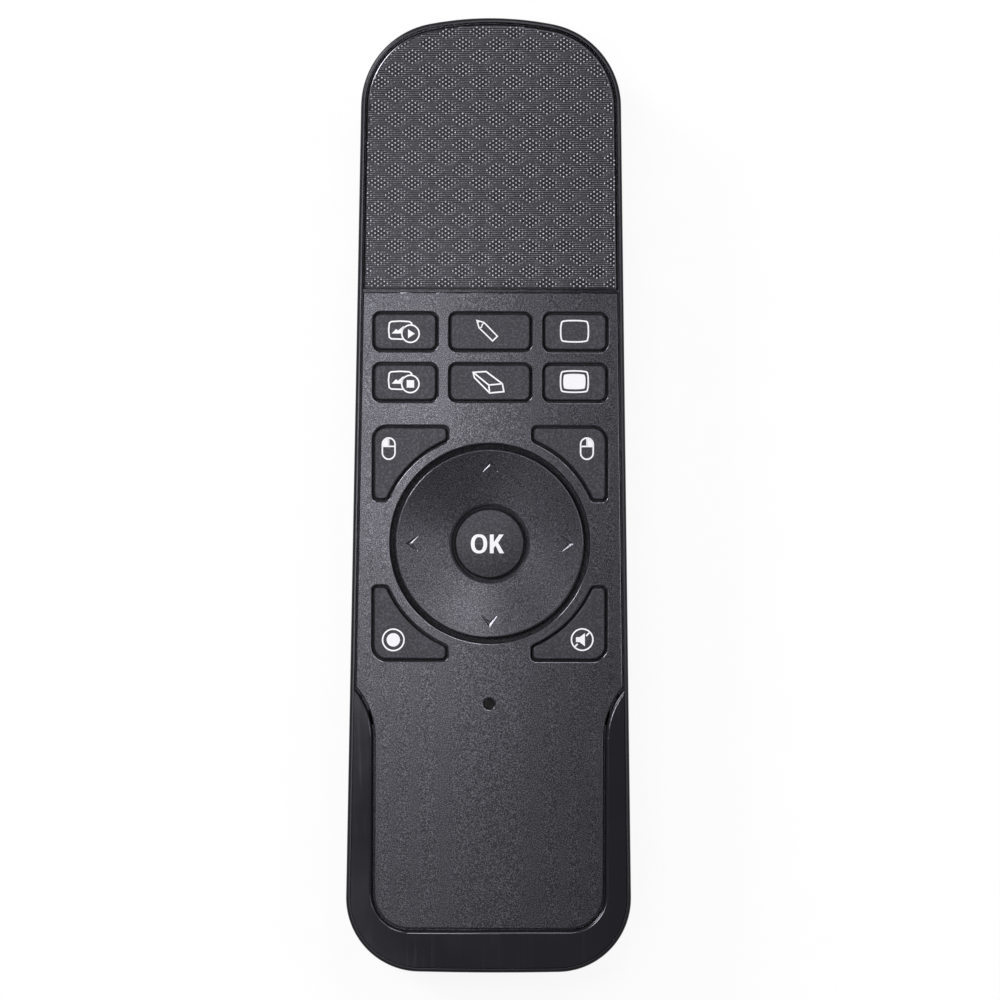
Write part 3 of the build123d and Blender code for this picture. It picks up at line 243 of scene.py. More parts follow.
    def blend(self, factor: Socket, first: Socket | Colour, second: Socket | Colour) -> Socket:
        """Mix two colours.

        Args:
            factor: Share of the second colour.
            first: First colour, a socket or a plain colour.
            second: Second colour, the same.

        Returns:
            The mixed colour.
        """
        made = self.node("ShaderNodeMix", data_type="RGBA")
        self.join(factor, made.inputs["Factor"])
        *inputs, result = self.MIX_SOCKETS
        for value, place in zip((first, second), inputs):
            if isinstance(value, tuple):
                made.inputs[place].default_value = (*value, 1.0)
            else:
                self.join(value, made.inputs[place])
        return made.outputs[result]

    def separate(self, vector: Socket) -> bpy.types.NodeOutputs:
        """Split a vector.

        Args:
            vector: The vector.

        Returns:
            Its X, Y and Z, by those names.
        """
        made = self.node("ShaderNodeSeparateXYZ")
        self.join(vector, made.inputs[0])
        return made.outputs

    def bump(self, height: Socket, depth: float, below: Socket | None = None) -> Socket:
        """Raise the surface by a height map.

        Args:
            height: Value from 0 to 1.
            depth: Height of 1 in millimetres.
            below: Normal that it is laid over.

        Returns:
            The bumped normal, also joined to the shader.
        """
        made = self.node("ShaderNodeBump")
        made.inputs["Distance"].default_value = depth * MM
        self.join(height, made.inputs["Height"])
        if below is not None:
            self.join(below, made.inputs["Normal"])
        self.join(made.outputs["Normal"], self.shader.inputs["Normal"])
        return made.outputs["Normal"]

    def colour(self, value: Socket) -> None:
        """Use a colour as the shader's base colour."""
        self.join(value, self.shader.inputs["Base Color"])

    def roughness(self, value: Socket) -> None:
        """Use a value as the shader's roughness."""
        self.join(value, self.shader.inputs["Roughness"])

    def set(self, **values: float | tuple[float, ...]) -> None:
        """Set plain values on the shader's own sockets, with _ for a space in their names."""
        for key, value in values.items():
            self.shader.inputs[key.replace("_", " ")].default_value = value


def shade(colour: Colour, factor: float) -> Colour:
    """A colour made lighter or darker by a factor."""
    return tuple(min(1.0, channel * factor) for channel in colour)


@dataclass(frozen=True)
class Finish:
    """What every finish has: a name, a colour and how rough it is."""

    name: str
    colour: Colour
    roughness: float

    def material(self) -> bpy.types.Material:
        """The material of this finish, made once.

        Returns:
            The Blender material.
        """
        title = f"{self.name}_finish"
        found = bpy.data.materials.get(title)
        if found is None:
            graph = Graph(title)
            self.paint(graph)
            found = graph.material
        return found

    def paint(self, graph: Graph) -> None:
        """Build the nodes; each kind of finish has its own."""
        raise NotImplementedError

    def clouded(self, graph: Graph, cloud: Socket, dark: float, light: float = 1.0) -> Socket:
        """The finish's colour, darker and lighter in clouds.

        Args:
            graph: Node tree to build in.
            cloud: Value from 0 where it is dark to 1 where it is light.
            dark: Factor on the colour at 0.
            light: Factor on the colour at 1.

        Returns:
            The clouded colour.
        """
        return graph.blend(cloud, shade(self.colour, dark), shade(self.colour, light))

    def uneven(self, graph: Graph, cloud: Socket, smoother: float, rougher: float) -> None:
        """Let the roughness follow a noise.

        Args:
            graph: Node tree to build in.
            cloud: The noise.
            smoother: How far the roughness falls where the noise is low.
            rougher: How far it rises where the noise is high.
        """
        graph.roughness(graph.fit(cloud, NOISE_SPAN, (self.roughness - smoother, self.roughness + rougher)))


@dataclass(frozen=True)
class Moulded(Finish):
    """Moulded plastic: spark grain, fine speckle in its colour and broad uneven gloss."""

    grain: float = 0.22
    depth: float = 0.002
    speckle: float = 0.3
    mottle: float = 0.05
    mottle_size: float = 14.0
    patchiness: float = 0.015
    patch_size: float = 6.0
    pit_size: float = 1.2
    specular: float = 0.5
    # Heights in millimetres between which painted shade darkens a gap's colour, or None.
    dark: Point | None = None
    edge_roughness: float | None = None
    edge_specular: float = 0.5

    def paint(self, graph: Graph) -> None:
        """Grain, speckle, patchy roughness, smoother rounded edges and painted shade in the gaps.

        Args:
            graph: Node tree to build in.
        """
        graph.set(Specular_IOR_Level=self.specular, Specular_Tint=COOL)
        broad = graph.noise(self.mottle_size, 3.0)
        tone = self.clouded(graph, broad, 1 - self.mottle, 1 + self.mottle)
        # Specks, darkened by painted shade down in the gaps when dark is set; the same factor also lowers the
        # specular level there.
        factor = graph.specks(self.grain, self.speckle, self.dark)
        graph.colour(graph.scaled(tone, factor))
        spread = (-self.patchiness, self.patchiness)
        patches = graph.fit(graph.noise(self.patch_size, 4.0), NOISE_SPAN, spread)
        rough = graph.maths("ADD", patches, self.roughness)
        shine = graph.maths("MULTIPLY", factor, self.specular)
        if self.edge_roughness is not None:
            edge = graph.rounding()
            change = graph.maths("MULTIPLY", edge, self.edge_roughness - self.roughness)
            rough = graph.maths("ADD", rough, change)
            shine = graph.maths("ADD", shine, graph.maths("MULTIPLY", edge, self.edge_specular))
        graph.roughness(rough)
        graph.join(shine, graph.shader.inputs["Specular IOR Level"])
        graph.bump(graph.noise(self.pit_size * self.grain, 1.0), self.depth, self.ground(graph))

    def ground(self, graph: Graph) -> Socket | None:
        """Normal that the grain lies on, when it isn't the piece's own."""
        return None


@dataclass(frozen=True)
class Dished(Moulded):
    """Moulded plastic whose shading leans in towards a centre, as in a dish."""

    centre: Point = (0.0, 0.0)
    lean: float = 0.1
    level: Point = (0.94, 0.985)

    def ground(self, graph: Graph) -> Socket:
        """Lean the normal of level faces towards the centre.

        Args:
            graph: Node tree to build in.

        Returns:
            The leaning normal.
        """
        centre = (self.centre[0] * MM, self.centre[1] * MM, 0.0)
        outward = graph.vector("SUBTRACT", graph.place, centre)
        flat = graph.vector("MULTIPLY", outward, (1.0, 1.0, 0.0))
        unit = graph.vector("NORMALIZE", flat)
        inward = graph.fit(graph.separate(graph.normal)["Z"], self.level, (0.0, -self.lean))
        leaning = graph.vector("ADD", graph.scaled(unit, inward), graph.normal)
        turned = graph.node(
            "ShaderNodeVectorTransform", vector_type="NORMAL", convert_from="OBJECT", convert_to="WORLD"
        )
        graph.join(leaning, turned.inputs[0])
        return turned.outputs[0]


@dataclass(frozen=True)
class Polished(Finish):
    """Polished gloss plastic with faint rubbing marks and a little orange peel."""

    peel: float = 0.0012
    peel_size: float = 1.6
    rubbed: float = 0.05
    haze_size: float = 9.0
    haze_levels: Point = (0.42, 0.72)
    hairline_size: float = 0.5
    hairline_levels: Point = (0.58, 0.75)
    hairline_stretch: tuple[float, float, float] = (1.0, 0.04, 1.0)
    cloud_size: float = 20.0
    cloud_dark: float = 0.8
    cloud_light: float = 1.15

    def haze(self, graph: Graph) -> Socket:
        """Finger haze, as what it adds to the roughness."""
        return graph.fit(graph.noise(self.haze_size, 4.0), self.haze_levels, (0.0, self.rubbed))

    def gloss(self, graph: Graph) -> Socket:
        """The gloss colour with its faint clouds."""
        return self.clouded(graph, graph.noise(self.cloud_size), self.cloud_dark, self.cloud_light)

    def ripple(self, graph: Graph) -> Socket:
        """Orange peel, as the normal that it gives."""
        return graph.bump(graph.noise(self.peel_size, 1.0), self.peel)

    def paint(self, graph: Graph) -> None:
        """Faint ripple, hairlines and finger haze.

        Args:
            graph: Node tree to build in.
        """
        graph.set(Specular_Tint=COOL)
        hairlines = graph.noise(self.hairline_size, 2.0, graph.stretched(self.hairline_stretch))
        marks = graph.fit(hairlines, self.hairline_levels, (0.0, self.rubbed))
        worn = graph.maths("ADD", self.haze(graph), marks)
        graph.roughness(graph.maths("ADD", worn, self.roughness))
        graph.colour(self.gloss(graph))
        self.ripple(graph)


@dataclass(frozen=True)
class GlossShell(Polished):
    """Gloss housing with a softer rim, and a spark-textured back where the hand holds it."""

    rim_levels: Point = (0.05, 0.35)
    rim_roughness: float = 0.3
    rim_colour: Colour = (0.0085, 0.0083, 0.0098)
    back_levels: Point = (-0.45, -0.62)
    back_roughness: float = 0.48
    back_grain: float = 0.28
    back_depth: float = 0.02
    back_dark: float = 1.1
    back_light: float = 2.4

    def paint(self, graph: Graph) -> None:
        """Gloss on the walls, a softer rim, and grain on what faces down.

        Args:
            graph: Node tree to build in.
        """
        graph.set(Specular_Tint=COOL)
        up = graph.separate(graph.normal)["Z"]
        back = graph.fit(up, self.back_levels, (0.0, 1.0))
        rim = graph.fit(up, self.rim_levels, (0.0, 1.0))
        rough = graph.maths("ADD", self.haze(graph), self.roughness)
        for place, there in ((rim, self.rim_roughness), (back, self.back_roughness)):
            rough = graph.maths("ADD", rough, graph.maths("MULTIPLY", place, there - self.roughness))
        graph.roughness(rough)
        grain = graph.noise(self.back_grain, 2.0)
        front = graph.blend(rim, self.gloss(graph), self.rim_colour)
        graph.colour(graph.blend(back, front, self.clouded(graph, grain, self.back_dark, self.back_light)))
        graph.bump(graph.maths("MULTIPLY", grain, back), self.back_depth, self.ripple(graph))


@dataclass(frozen=True)
class Rubber(Finish):
    """Soft matt coat on the keys: very fine grain, slightly worn at the high spots."""

    grain: float = 0.3
    depth: float = 0.002
    bloom: float = 0.06
    bloom_size: float = 3.0
    wear: float = 0.02
    speckle: float = 0.3
    specular: float = 0.5
    pit_size: float = 2.0
    # Heights in millimetres between which painted shade darkens a gap's colour, or None.
    dark: Point | None = None

    def paint(self, graph: Graph) -> None:
        """Soft grain, faint bloom, a weak sheen and painted shade in the gaps.

        Args:
            graph: Node tree to build in.
        """
        graph.set(Specular_Tint=COOL)
        wide = graph.noise(self.bloom_size, 3.0)
        tone = self.clouded(graph, wide, 1 - self.bloom, 1 + self.bloom)
        # Specks, darkened by painted shade down in the gaps when dark is set.
        factor = graph.specks(self.grain, self.speckle, self.dark)
        graph.colour(graph.scaled(tone, factor))
        self.uneven(graph, wide, self.wear, self.wear)
        graph.join(graph.maths("MULTIPLY", factor, self.specular), graph.shader.inputs["Specular IOR Level"])
        graph.bump(graph.noise(self.pit_size * self.grain, 2.0), self.depth)


@dataclass(frozen=True)
class Ink(Finish):
    """Printed symbols: a thin even coat that takes a little of the grain below."""

    grain: float = 0.25
    depth: float = 0.002
    thin: Point = (0.25, 0.55)
    thin_dark: float = 0.95
    thin_roughness: float = 0.1

    def paint(self, graph: Graph) -> None:
        """Faintly uneven coverage.

        Args:
            graph: Node tree to build in.
        """
        cover = graph.fit(graph.noise(self.grain, 2.0), self.thin, (0.0, 1.0))
        graph.colour(self.clouded(graph, cover, self.thin_dark))
        rough = (self.roughness + self.thin_roughness, self.roughness)
        graph.roughness(graph.fit(cover, (0.0, 1.0), rough))
        graph.bump(cover, self.depth)


@dataclass(frozen=True)
class Metal(Finish):
    """Plated or turned metal with drawn lines and slight tarnish."""

    lines: tuple[float, float, float] = (1.0, 0.08, 1.0)
    line_size: float = 0.18
    line_depth: float = 0.002
    smoother: float = 0.06
    rougher: float = 0.08
    tarnish: float = 0.18
    tarnish_size: float = 2.5

    def paint(self, graph: Graph) -> None:
        """Drawn lines along one axis and clouds of tarnish.

        Args:
            graph: Node tree to build in.
        """
        drawn = graph.noise(self.line_size, 3.0, graph.stretched(self.lines))
        graph.colour(self.clouded(graph, graph.noise(self.tarnish_size, 4.0), 1 - self.tarnish))
        self.uneven(graph, drawn, self.smoother, self.rougher)
        graph.set(Metallic=1.0)
        graph.bump(drawn, self.line_depth)


@dataclass(frozen=True)
class Clear(Finish):
    """Clear or smoked plastic that light passes through."""

    transmission: float = 0.6
    specular: float = 0.5
    refraction: float = 1.49
    haze_size: float = 1.2
    haze_dark: float = 0.85
    haze_roughness: float = 0.06
    haze_depth: float = 0.001

    def paint(self, graph: Graph) -> None:
        """Tinted see-through body with faint haze.

        Args:
            graph: Node tree to build in.
        """
        haze = graph.noise(self.haze_size, 3.0)
        graph.colour(self.clouded(graph, haze, self.haze_dark))
        self.uneven(graph, haze, 0.0, self.haze_roughness)
        graph.set(Transmission_Weight=self.transmission, IOR=self.refraction)
        graph.set(Specular_IOR_Level=self.specular)
        graph.bump(haze, self.haze_depth)


@dataclass(frozen=True)
class Laminate(Finish):
    """Circuit board: mask over a faint grid of tracks."""

    track: Colour = (0.05, 0.22, 0.1)
    track_pitch: float = 4.0
    track_width: float = 0.035
    track_height: float = 0.01
    mask_size: float = 5.0
    mask_dark: float = 0.8
    mask_light: float = 1.2
    gloss_size: float = 2.0
    gloss_change: float = 0.05

    def paint(self, graph: Graph) -> None:
        """Tracks show through the mask as slightly raised lines.

        Args:
            graph: Node tree to build in.
        """
        grid = graph.node("ShaderNodeTexBrick")
        grid.inputs["Scale"].default_value = 1 / (self.track_pitch * MM)
        grid.inputs["Mortar Size"].default_value = self.track_width
        graph.join(graph.place, grid.inputs["Vector"])
        tracks = grid.outputs["Fac"]
        mask = self.clouded(graph, graph.noise(self.mask_size, 3.0), self.mask_dark, self.mask_light)
        graph.colour(graph.blend(tracks, mask, self.track))
        self.uneven(graph, graph.noise(self.gloss_size), self.gloss_change, self.gloss_change)
        graph.bump(tracks, self.track_height)


@dataclass(frozen=True)
class Sleeve(Finish):
    """Battery cell: printed sleeve round a bare steel can, with bare ends."""

    steel: Colour = (0.6, 0.6, 0.61)
    bare_ends: Point = (0.8, 0.88)
    film_size: float = 4.0
    film_dark: float = 0.85
    film_light: float = 1.2
    rub_size: float = 1.5
    smoother: float = 0.05
    rougher: float = 0.1
    dent_size: float = 0.8
    dent_depth: float = 0.003

    def paint(self, graph: Graph) -> None:
        """Sleeve on the sides, steel where the surface faces along the cell.

        Args:
            graph: Node tree to build in.
        """
        along = graph.maths("ABSOLUTE", graph.separate(graph.normal)["Y"], 0.0)
        end = graph.fit(along, self.bare_ends, (0.0, 1.0))
        film = self.clouded(graph, graph.noise(self.film_size, 3.0), self.film_dark, self.film_light)
        graph.colour(graph.blend(end, film, self.steel))
        graph.join(end, graph.shader.inputs["Metallic"])
        self.uneven(graph, graph.noise(self.rub_size, 3.0), self.smoother, self.rougher)
        graph.bump(graph.noise(self.dent_size, 2.0), self.dent_depth)


class Look(Enum):
    """Every finish on the clicker."""

    HOUSING_GLOSS_BLACK = GlossShell("housing_gloss_black", (0.008, 0.008, 0.009), 0.2)
    # dark=(low, high) paints shade into a finish's colour down in its gaps, between these heights in
    # millimetres.
    SATIN_GREY = Moulded("satin_grey", (0.0165, 0.0161, 0.0192), 0.31, grain=0.135, depth=0.001,
                         speckle=0.9, dark=(18.4, 19.1), edge_roughness=0.17, edge_specular=1.3)
    RING_GREY = Dished("ring_grey", (0.0225, 0.022, 0.0262), 0.36, grain=0.135, depth=0.001,
                       speckle=0.8, specular=0.62, dark=(18.9, 19.6), edge_roughness=0.2,
                       edge_specular=0.45, centre=(0.0, PAD_MIDDLE), lean=0.2)
    BAND_GLOSS_BLACK = Polished("band_gloss_black", (0.0118, 0.0112, 0.0135), 0.13)
    # Touch plate: its very dark colour is partly the plate's own and partly painted shade between the dots
    # and ribs.
    TOUCH_PLATE = Moulded("touch_plate", (0.005, 0.0049, 0.006), 0.36, grain=0.15, speckle=0.6,
                          specular=0.25, dark=(18.2, 19.0), edge_roughness=0.2, edge_specular=1.8)
    # Dots: their light colour is a painted glint on each dot.
    TOUCH_DOTS_PAINTED_GLINT = Moulded("touch_dots_painted_glint", (0.5, 0.495, 0.53), 0.2, grain=0.3, specular=0.9)
    # Ribs: their light colour paints the highlight lines along the ribs.
    TOUCH_RIBS_PAINTED_HIGHLIGHT = Moulded("touch_ribs_painted_highlight", (0.11, 0.108, 0.12), 0.3, grain=0.2)
    KEY_RUBBER = Rubber("key_rubber", (0.0148, 0.0145, 0.0172), 0.45, dark=(17.9, 18.6))
    KEY_PRINT = Ink("key_print", (0.95, 0.95, 0.96), 0.5)
    BACK_PRINT = Ink("back_print", (0.4, 0.4, 0.41), 0.5)
    BOARD_GREEN = Laminate("board_green", (0.015, 0.11, 0.045), 0.35)
    FLEX_AMBER = Moulded("flex_amber", (0.5, 0.24, 0.04), 0.35, grain=0.8, depth=0.001)
    MOULDED_IVORY = Moulded("moulded_ivory", (0.72, 0.68, 0.58), 0.45)
    MOULDED_BLACK = Moulded("moulded_black", (0.022, 0.022, 0.024), 0.42, depth=0.008)
    CHIP_BLACK = Moulded("chip_black", (0.02, 0.02, 0.021), 0.5, grain=0.12)
    SCREW_STEEL = Metal("screw_steel", (0.55, 0.55, 0.56), 0.32)
    SILICONE_GREY = Rubber("silicone_grey", (0.33, 0.34, 0.36), 0.5)
    SPRING_STEEL = Metal("spring_steel", (0.62, 0.61, 0.6), 0.28)
    SMOKED_GUIDE = Clear("smoked_guide", (0.012, 0.012, 0.013), 0.12, transmission=0.3, specular=0.15)
    CELL_SLEEVE = Sleeve("cell_sleeve", (0.1, 0.1, 0.11), 0.35)
    BACK_MATT_BLACK = Moulded("back_matt_black", (0.022, 0.022, 0.024), 0.5, grain=0.28, depth=0.02)
    PLUG_NICKEL = Metal("plug_nickel", (0.74, 0.73, 0.7), 0.22, lines=(0.06, 1.0, 1.0))
    CONTACT_GOLD = Metal("contact_gold", (0.85, 0.6, 0.24), 0.25)
    BARREL_BRASS = Metal("barrel_brass", (0.72, 0.52, 0.23), 0.3, lines=(1.0, 0.2, 1.0))
    CLEAR_WINDOW = Clear("clear_window", (0.32, 0.03, 0.035), 0.05, transmission=0.8)
    WIRE_RED = Rubber("wire_red", (0.42, 0.03, 0.02), 0.45)


def dress(node: str, look: Look) -> None:
    """Give a CAD node its finish.

    Args:
        node: Name of the node.
        look: Its finish.
    """
    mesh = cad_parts[node].data
    mesh.materials.clear()
    mesh.materials.append(look.value.material())
    log.info("%s dressed in %s", node, look.value.name)


# ---------------------------------------------------------------------------------- mesh work
@dataclass
class Mould:
    """Collects points and faces in millimetres and turns them into one piece."""

    name: str
    points: list[Vector] = field(default_factory=list)
    faces: list[tuple[int, ...]] = field(default_factory=list)

    def add(self, points: Sequence[Vector], faces: Sequence[tuple[int, ...]]) -> None:
        """Add one closed shell.

        Args:
            points: Its points in millimetres.
            faces: Its faces, as numbers of those points.
        """
        start = len(self.points)
        self.points.extend(points)
        self.faces.extend(tuple(start + index for index in face) for face in faces)

    def make(self, body: str, look: Look, slot: str = "", smooth: bool = False) -> bpy.types.Object:
        """Make the mesh object and let it ride on its body.

        Args:
            body: CAD body that it moves with.
            look: Its finish.
            slot: Material slot of the record, when the record has one for it. Not used.
            smooth: Whether its faces are shaded smooth.

        Returns:
            The new object.
        """
        mesh = bpy.data.meshes.new(self.name)
        mesh.from_pydata([point * MM for point in self.points], [], self.faces)
        work = bmesh.new()
        work.from_mesh(mesh)
        bmesh.ops.recalc_face_normals(work, faces=work.faces)
        work.to_mesh(mesh)
        work.free()
        if smooth:
            mesh.shade_smooth()
        made = bpy.data.objects.new(self.name, mesh)
        bpy.context.scene.collection.objects.link(made)
        mesh.materials.append(look.value.material())
        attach(made, body)
        log.info("%s made, %d faces, on %s", self.name, len(self.faces), body)
        return made


def offset_line(points: Sequence[Point], distance: float, closed: bool) -> list[Point]:
    """Points of a line moved sideways, with mitred corners.

    Args:
        points: The line.
        distance: How far to its left.
        closed: Whether the last point joins the first.

    Returns:
        The moved points.
    """
    result = []
    count = len(points)
    for index, (x, y) in enumerate(points):
        before = points[index - 1] if closed or index else None
        after = points[(index + 1) % count] if closed or index < count - 1 else None
        normals = []
        for a, b in ((before, (x, y)), ((x, y), after)):
            if a is not None and b is not None:
                length = math.hypot(b[0] - a[0], b[1] - a[1])
                normals.append(((a[1] - b[1]) / length, (b[0] - a[0]) / length))
        nx = sum(normal[0] for normal in normals) / len(normals)
        ny = sum(normal[1] for normal in normals) / len(normals)
        scale = distance / max(nx * nx + ny * ny, MITRE_LIMIT)
        result.append((x + nx * scale, y + ny * scale))
    return result


def arc(centre: Point, radii: Point, start: float, end: float, steps: int = 12) -> list[Point]:
    """Points on an arc of an ellipse.

    Args:
        centre: Its middle.
        radii: Half width and half height.
        start: First angle in degrees.
        end: Last angle.
        steps: Number of chords.

    Returns:
        The points.
    """
    angles = [math.radians(start + (end - start) * index / steps) for index in range(steps + 1)]
    return [(centre[0] + radii[0] * math.cos(a), centre[1] + radii[1] * math.sin(a)) for a in angles]


def oval(centre: Point, radii: Point, count: int = 48) -> list[Point]:
    """Points round a whole oval, none of them twice.

    Args:
        centre: Its middle.
        radii: Half width and half height.
        count: Number of points.

    Returns:
        The points.
    """
    return arc(centre, radii, 0, 360 - 360 / count, count - 1)


def moved(points: Sequence[Point], x: float, y: float) -> list[Point]:
    """Points of a drawing moved to where it belongs.

    Args:
        points: The points, from the drawing's own middle.
        x: X of that middle.
        y: Y of that middle.

    Returns:
        The moved points.
    """
    return [(x + across, y + up) for across, up in points]


def bowed_box(middle: Point, half: Point, bow: float, corner: float) -> list[Point]:
    """Rounded rectangle whose sides bulge slightly, as a closed line.

    Args:
        middle: Its middle.
        half: Half its width and half its height, without the bulge.
        bow: How far each side bulges.
        corner: Radius of its corners.

    Returns:
        The points, counter-clockwise.
    """
    loop: list[Point] = []
    left, right = middle[0] - half[0], middle[0] + half[0]
    bottom, top = middle[1] - half[1], middle[1] + half[1]
    spots = [(right, bottom, -90), (right, top, 0), (left, top, 90), (left, bottom, 180)]
    for number, (x, y, angle) in enumerate(spots):
        centre = (x - math.copysign(corner, x - middle[0]), y - math.copysign(corner, y - middle[1]))
        loop += arc(centre, (corner, corner), angle, angle + 90, 4)
        next_x, next_y, _ = spots[(number + 1) % len(spots)]
        for share in (0.25, 0.5, 0.75):
            bulge = bow * (1 - (2 * share - 1) ** 2)
            side_x, side_y = x + (next_x - x) * share, y + (next_y - y) * share
            if x == next_x:
                side_x += math.copysign(bulge, x - middle[0])
            else:
                side_y += math.copysign(bulge, y - middle[1])
            loop.append((side_x, side_y))
    return loop


Height = Callable[[float, float], float]


@dataclass
class Print:
    """A symbol printed on a surface, drawn with strokes and filled shapes in millimetres."""

    name: str
    height: Height
    line: float = 0.23
    lift: float = 0.035
    face: int = 1
    step: float = 0.5
    mould: Mould = field(init=False)

    def __post_init__(self) -> None:
        """Start an empty mesh."""
        self.mould = Mould(self.name)

    def shape(self, *loops: Sequence[Point]) -> None:
        """Add a flat shape.

        Args:
            loops: Its outline and then its holes.
        """
        fine = [self.divided(loop) for loop in loops]
        flat = [point for loop in fine for point in loop]
        triangles = tessellate_polygon([[Vector((x, y, 0)) for x, y in loop] for loop in fine])
        low = [Vector((x, y, self.height(x, y) - self.face * self.lift)) for x, y in flat]
        high = [Vector((x, y, self.height(x, y) + self.face * self.lift)) for x, y in flat]
        count = len(flat)
        faces: list[tuple[int, ...]] = [tuple(triangle) for triangle in triangles]
        faces += [tuple(count + index for index in reversed(triangle)) for triangle in triangles]
        start = 0
        for loop in fine:
            for index in range(len(loop)):
                a, b = start + index, start + (index + 1) % len(loop)
                faces.append((a, b, count + b, count + a))
            start += len(loop)
        self.mould.add(low + high, faces)

    def divided(self, loop: Sequence[Point]) -> list[Point]:
        """Cut up the long edges of a loop, so that it can follow a curved surface.

        Args:
            loop: The loop.

        Returns:
            The same loop with more points.
        """
        fine: list[Point] = []
        for (x0, y0), (x1, y1) in zip(loop, [*loop[1:], loop[0]]):
            parts = max(1, math.ceil(math.hypot(x1 - x0, y1 - y0) / self.step))
            fine += [(x0 + (x1 - x0) * i / parts, y0 + (y1 - y0) * i / parts) for i in range(parts)]
        return fine

    def stroke(self, points: Sequence[Point], closed: bool = False, width: float | None = None) -> None:
        """Add a line of even width.

        Args:
            points: The points that it follows.
            closed: Whether it is a loop.
            width: Its width, when not the symbol's own.
        """
        half = (width or self.line) / 2
        left = offset_line(points, half, closed)
        right = offset_line(points, -half, closed)
        if closed:
            self.shape(left, right)
        else:
            self.shape([*left, *reversed(right)])

    def ring(self, centre: Point, radius: float) -> None:
        """Add a circle drawn with the symbol's line."""
        self.stroke(oval(centre, (radius, radius)), closed=True)

    def disc(self, centre: Point, radius: float) -> None:
        """Add a filled circle."""
        self.shape(oval(centre, (radius, radius)))

    def make(self, body: str, look: Look) -> bpy.types.Object:
        """Make the printed piece on its body."""
        return self.mould.make(body, look)


# ---------------------------------------------------------------------------------- the body
@dataclass(frozen=True)
class Crown:
    """The crowned face that every top surface follows."""

    radius: float = 300.0
    top: float = 20.2

    def level(self, x: float, sink: float = 0.0) -> float:
        """Height of the face, or of a surface sunk under it.

        Args:
            x: Distance from the middle in millimetres.
            sink: Depth under the face.

        Returns:
            The height in millimetres.
        """
        return self.top - self.radius + math.sqrt((self.radius - sink) ** 2 - x * x)


CROWN = Crown()


@dataclass
class Housing:
    """Gloss tub with its textured back and the marks beside the power slider."""

    rise_radius: float = 400.0
    slider_y: float = 24.0
    mark_x: float = 9.3
    mark_line: float = 0.24
    letter_height: float = 1.7
    letter_width: float = 1.15
    letter_gap: float = 0.5
    bar_height: float = 0.52
    bar_length: float = 0.8

    def back(self, x: float, y: float) -> float:
        """Height of the back, which rises towards the nose."""
        return self.rise_radius - math.sqrt(self.rise_radius**2 - max(y, 0.0) ** 2)

    def letters(self, marks: Print, word: str, middle: float) -> None:
        """Print a word of capitals to be read from below.

        Args:
            marks: The print to add to.
            word: Letters out of F, N and O.
            middle: X of its middle.
        """
        tall, wide = self.letter_height, self.letter_width
        whole = len(word) * wide + (len(word) - 1) * self.letter_gap
        low, high = self.slider_y - tall / 2, self.slider_y + tall / 2
        bar = low + self.bar_height * tall
        for index, letter in enumerate(word):
            left = middle + whole / 2 - index * (wide + self.letter_gap)
            right = left - wide
            if letter == "O":
                marks.stroke(oval((left - wide / 2, self.slider_y), (wide / 2, tall / 2), 24), closed=True)
            elif letter == "N":
                marks.stroke([(left, low), (left, high), (right, low), (right, high)])
            else:
                marks.stroke([(right, high), (left, high), (left, low)])
                marks.stroke([(left, bar), (left - self.bar_length * wide, bar)])

    def build(self) -> None:
        """Dress the tub and print ON and OFF beside the slider."""
        dress("lower_housing", Look.HOUSING_GLOSS_BLACK)
        marks = Print("slider_marks", self.back, line=self.mark_line, face=-1)
        self.letters(marks, "ON", -self.mark_x)
        self.letters(marks, "OFF", self.mark_x)
        marks.make("handset", Look.BACK_PRINT)


@dataclass
class Cover:
    """Satin cover plate and the gloss band round its tail half."""

    def build(self) -> None:
        """Dress the plate and the band."""
        dress("top_cover", Look.SATIN_GREY)
        dress("tail_band", Look.BAND_GLOSS_BLACK)


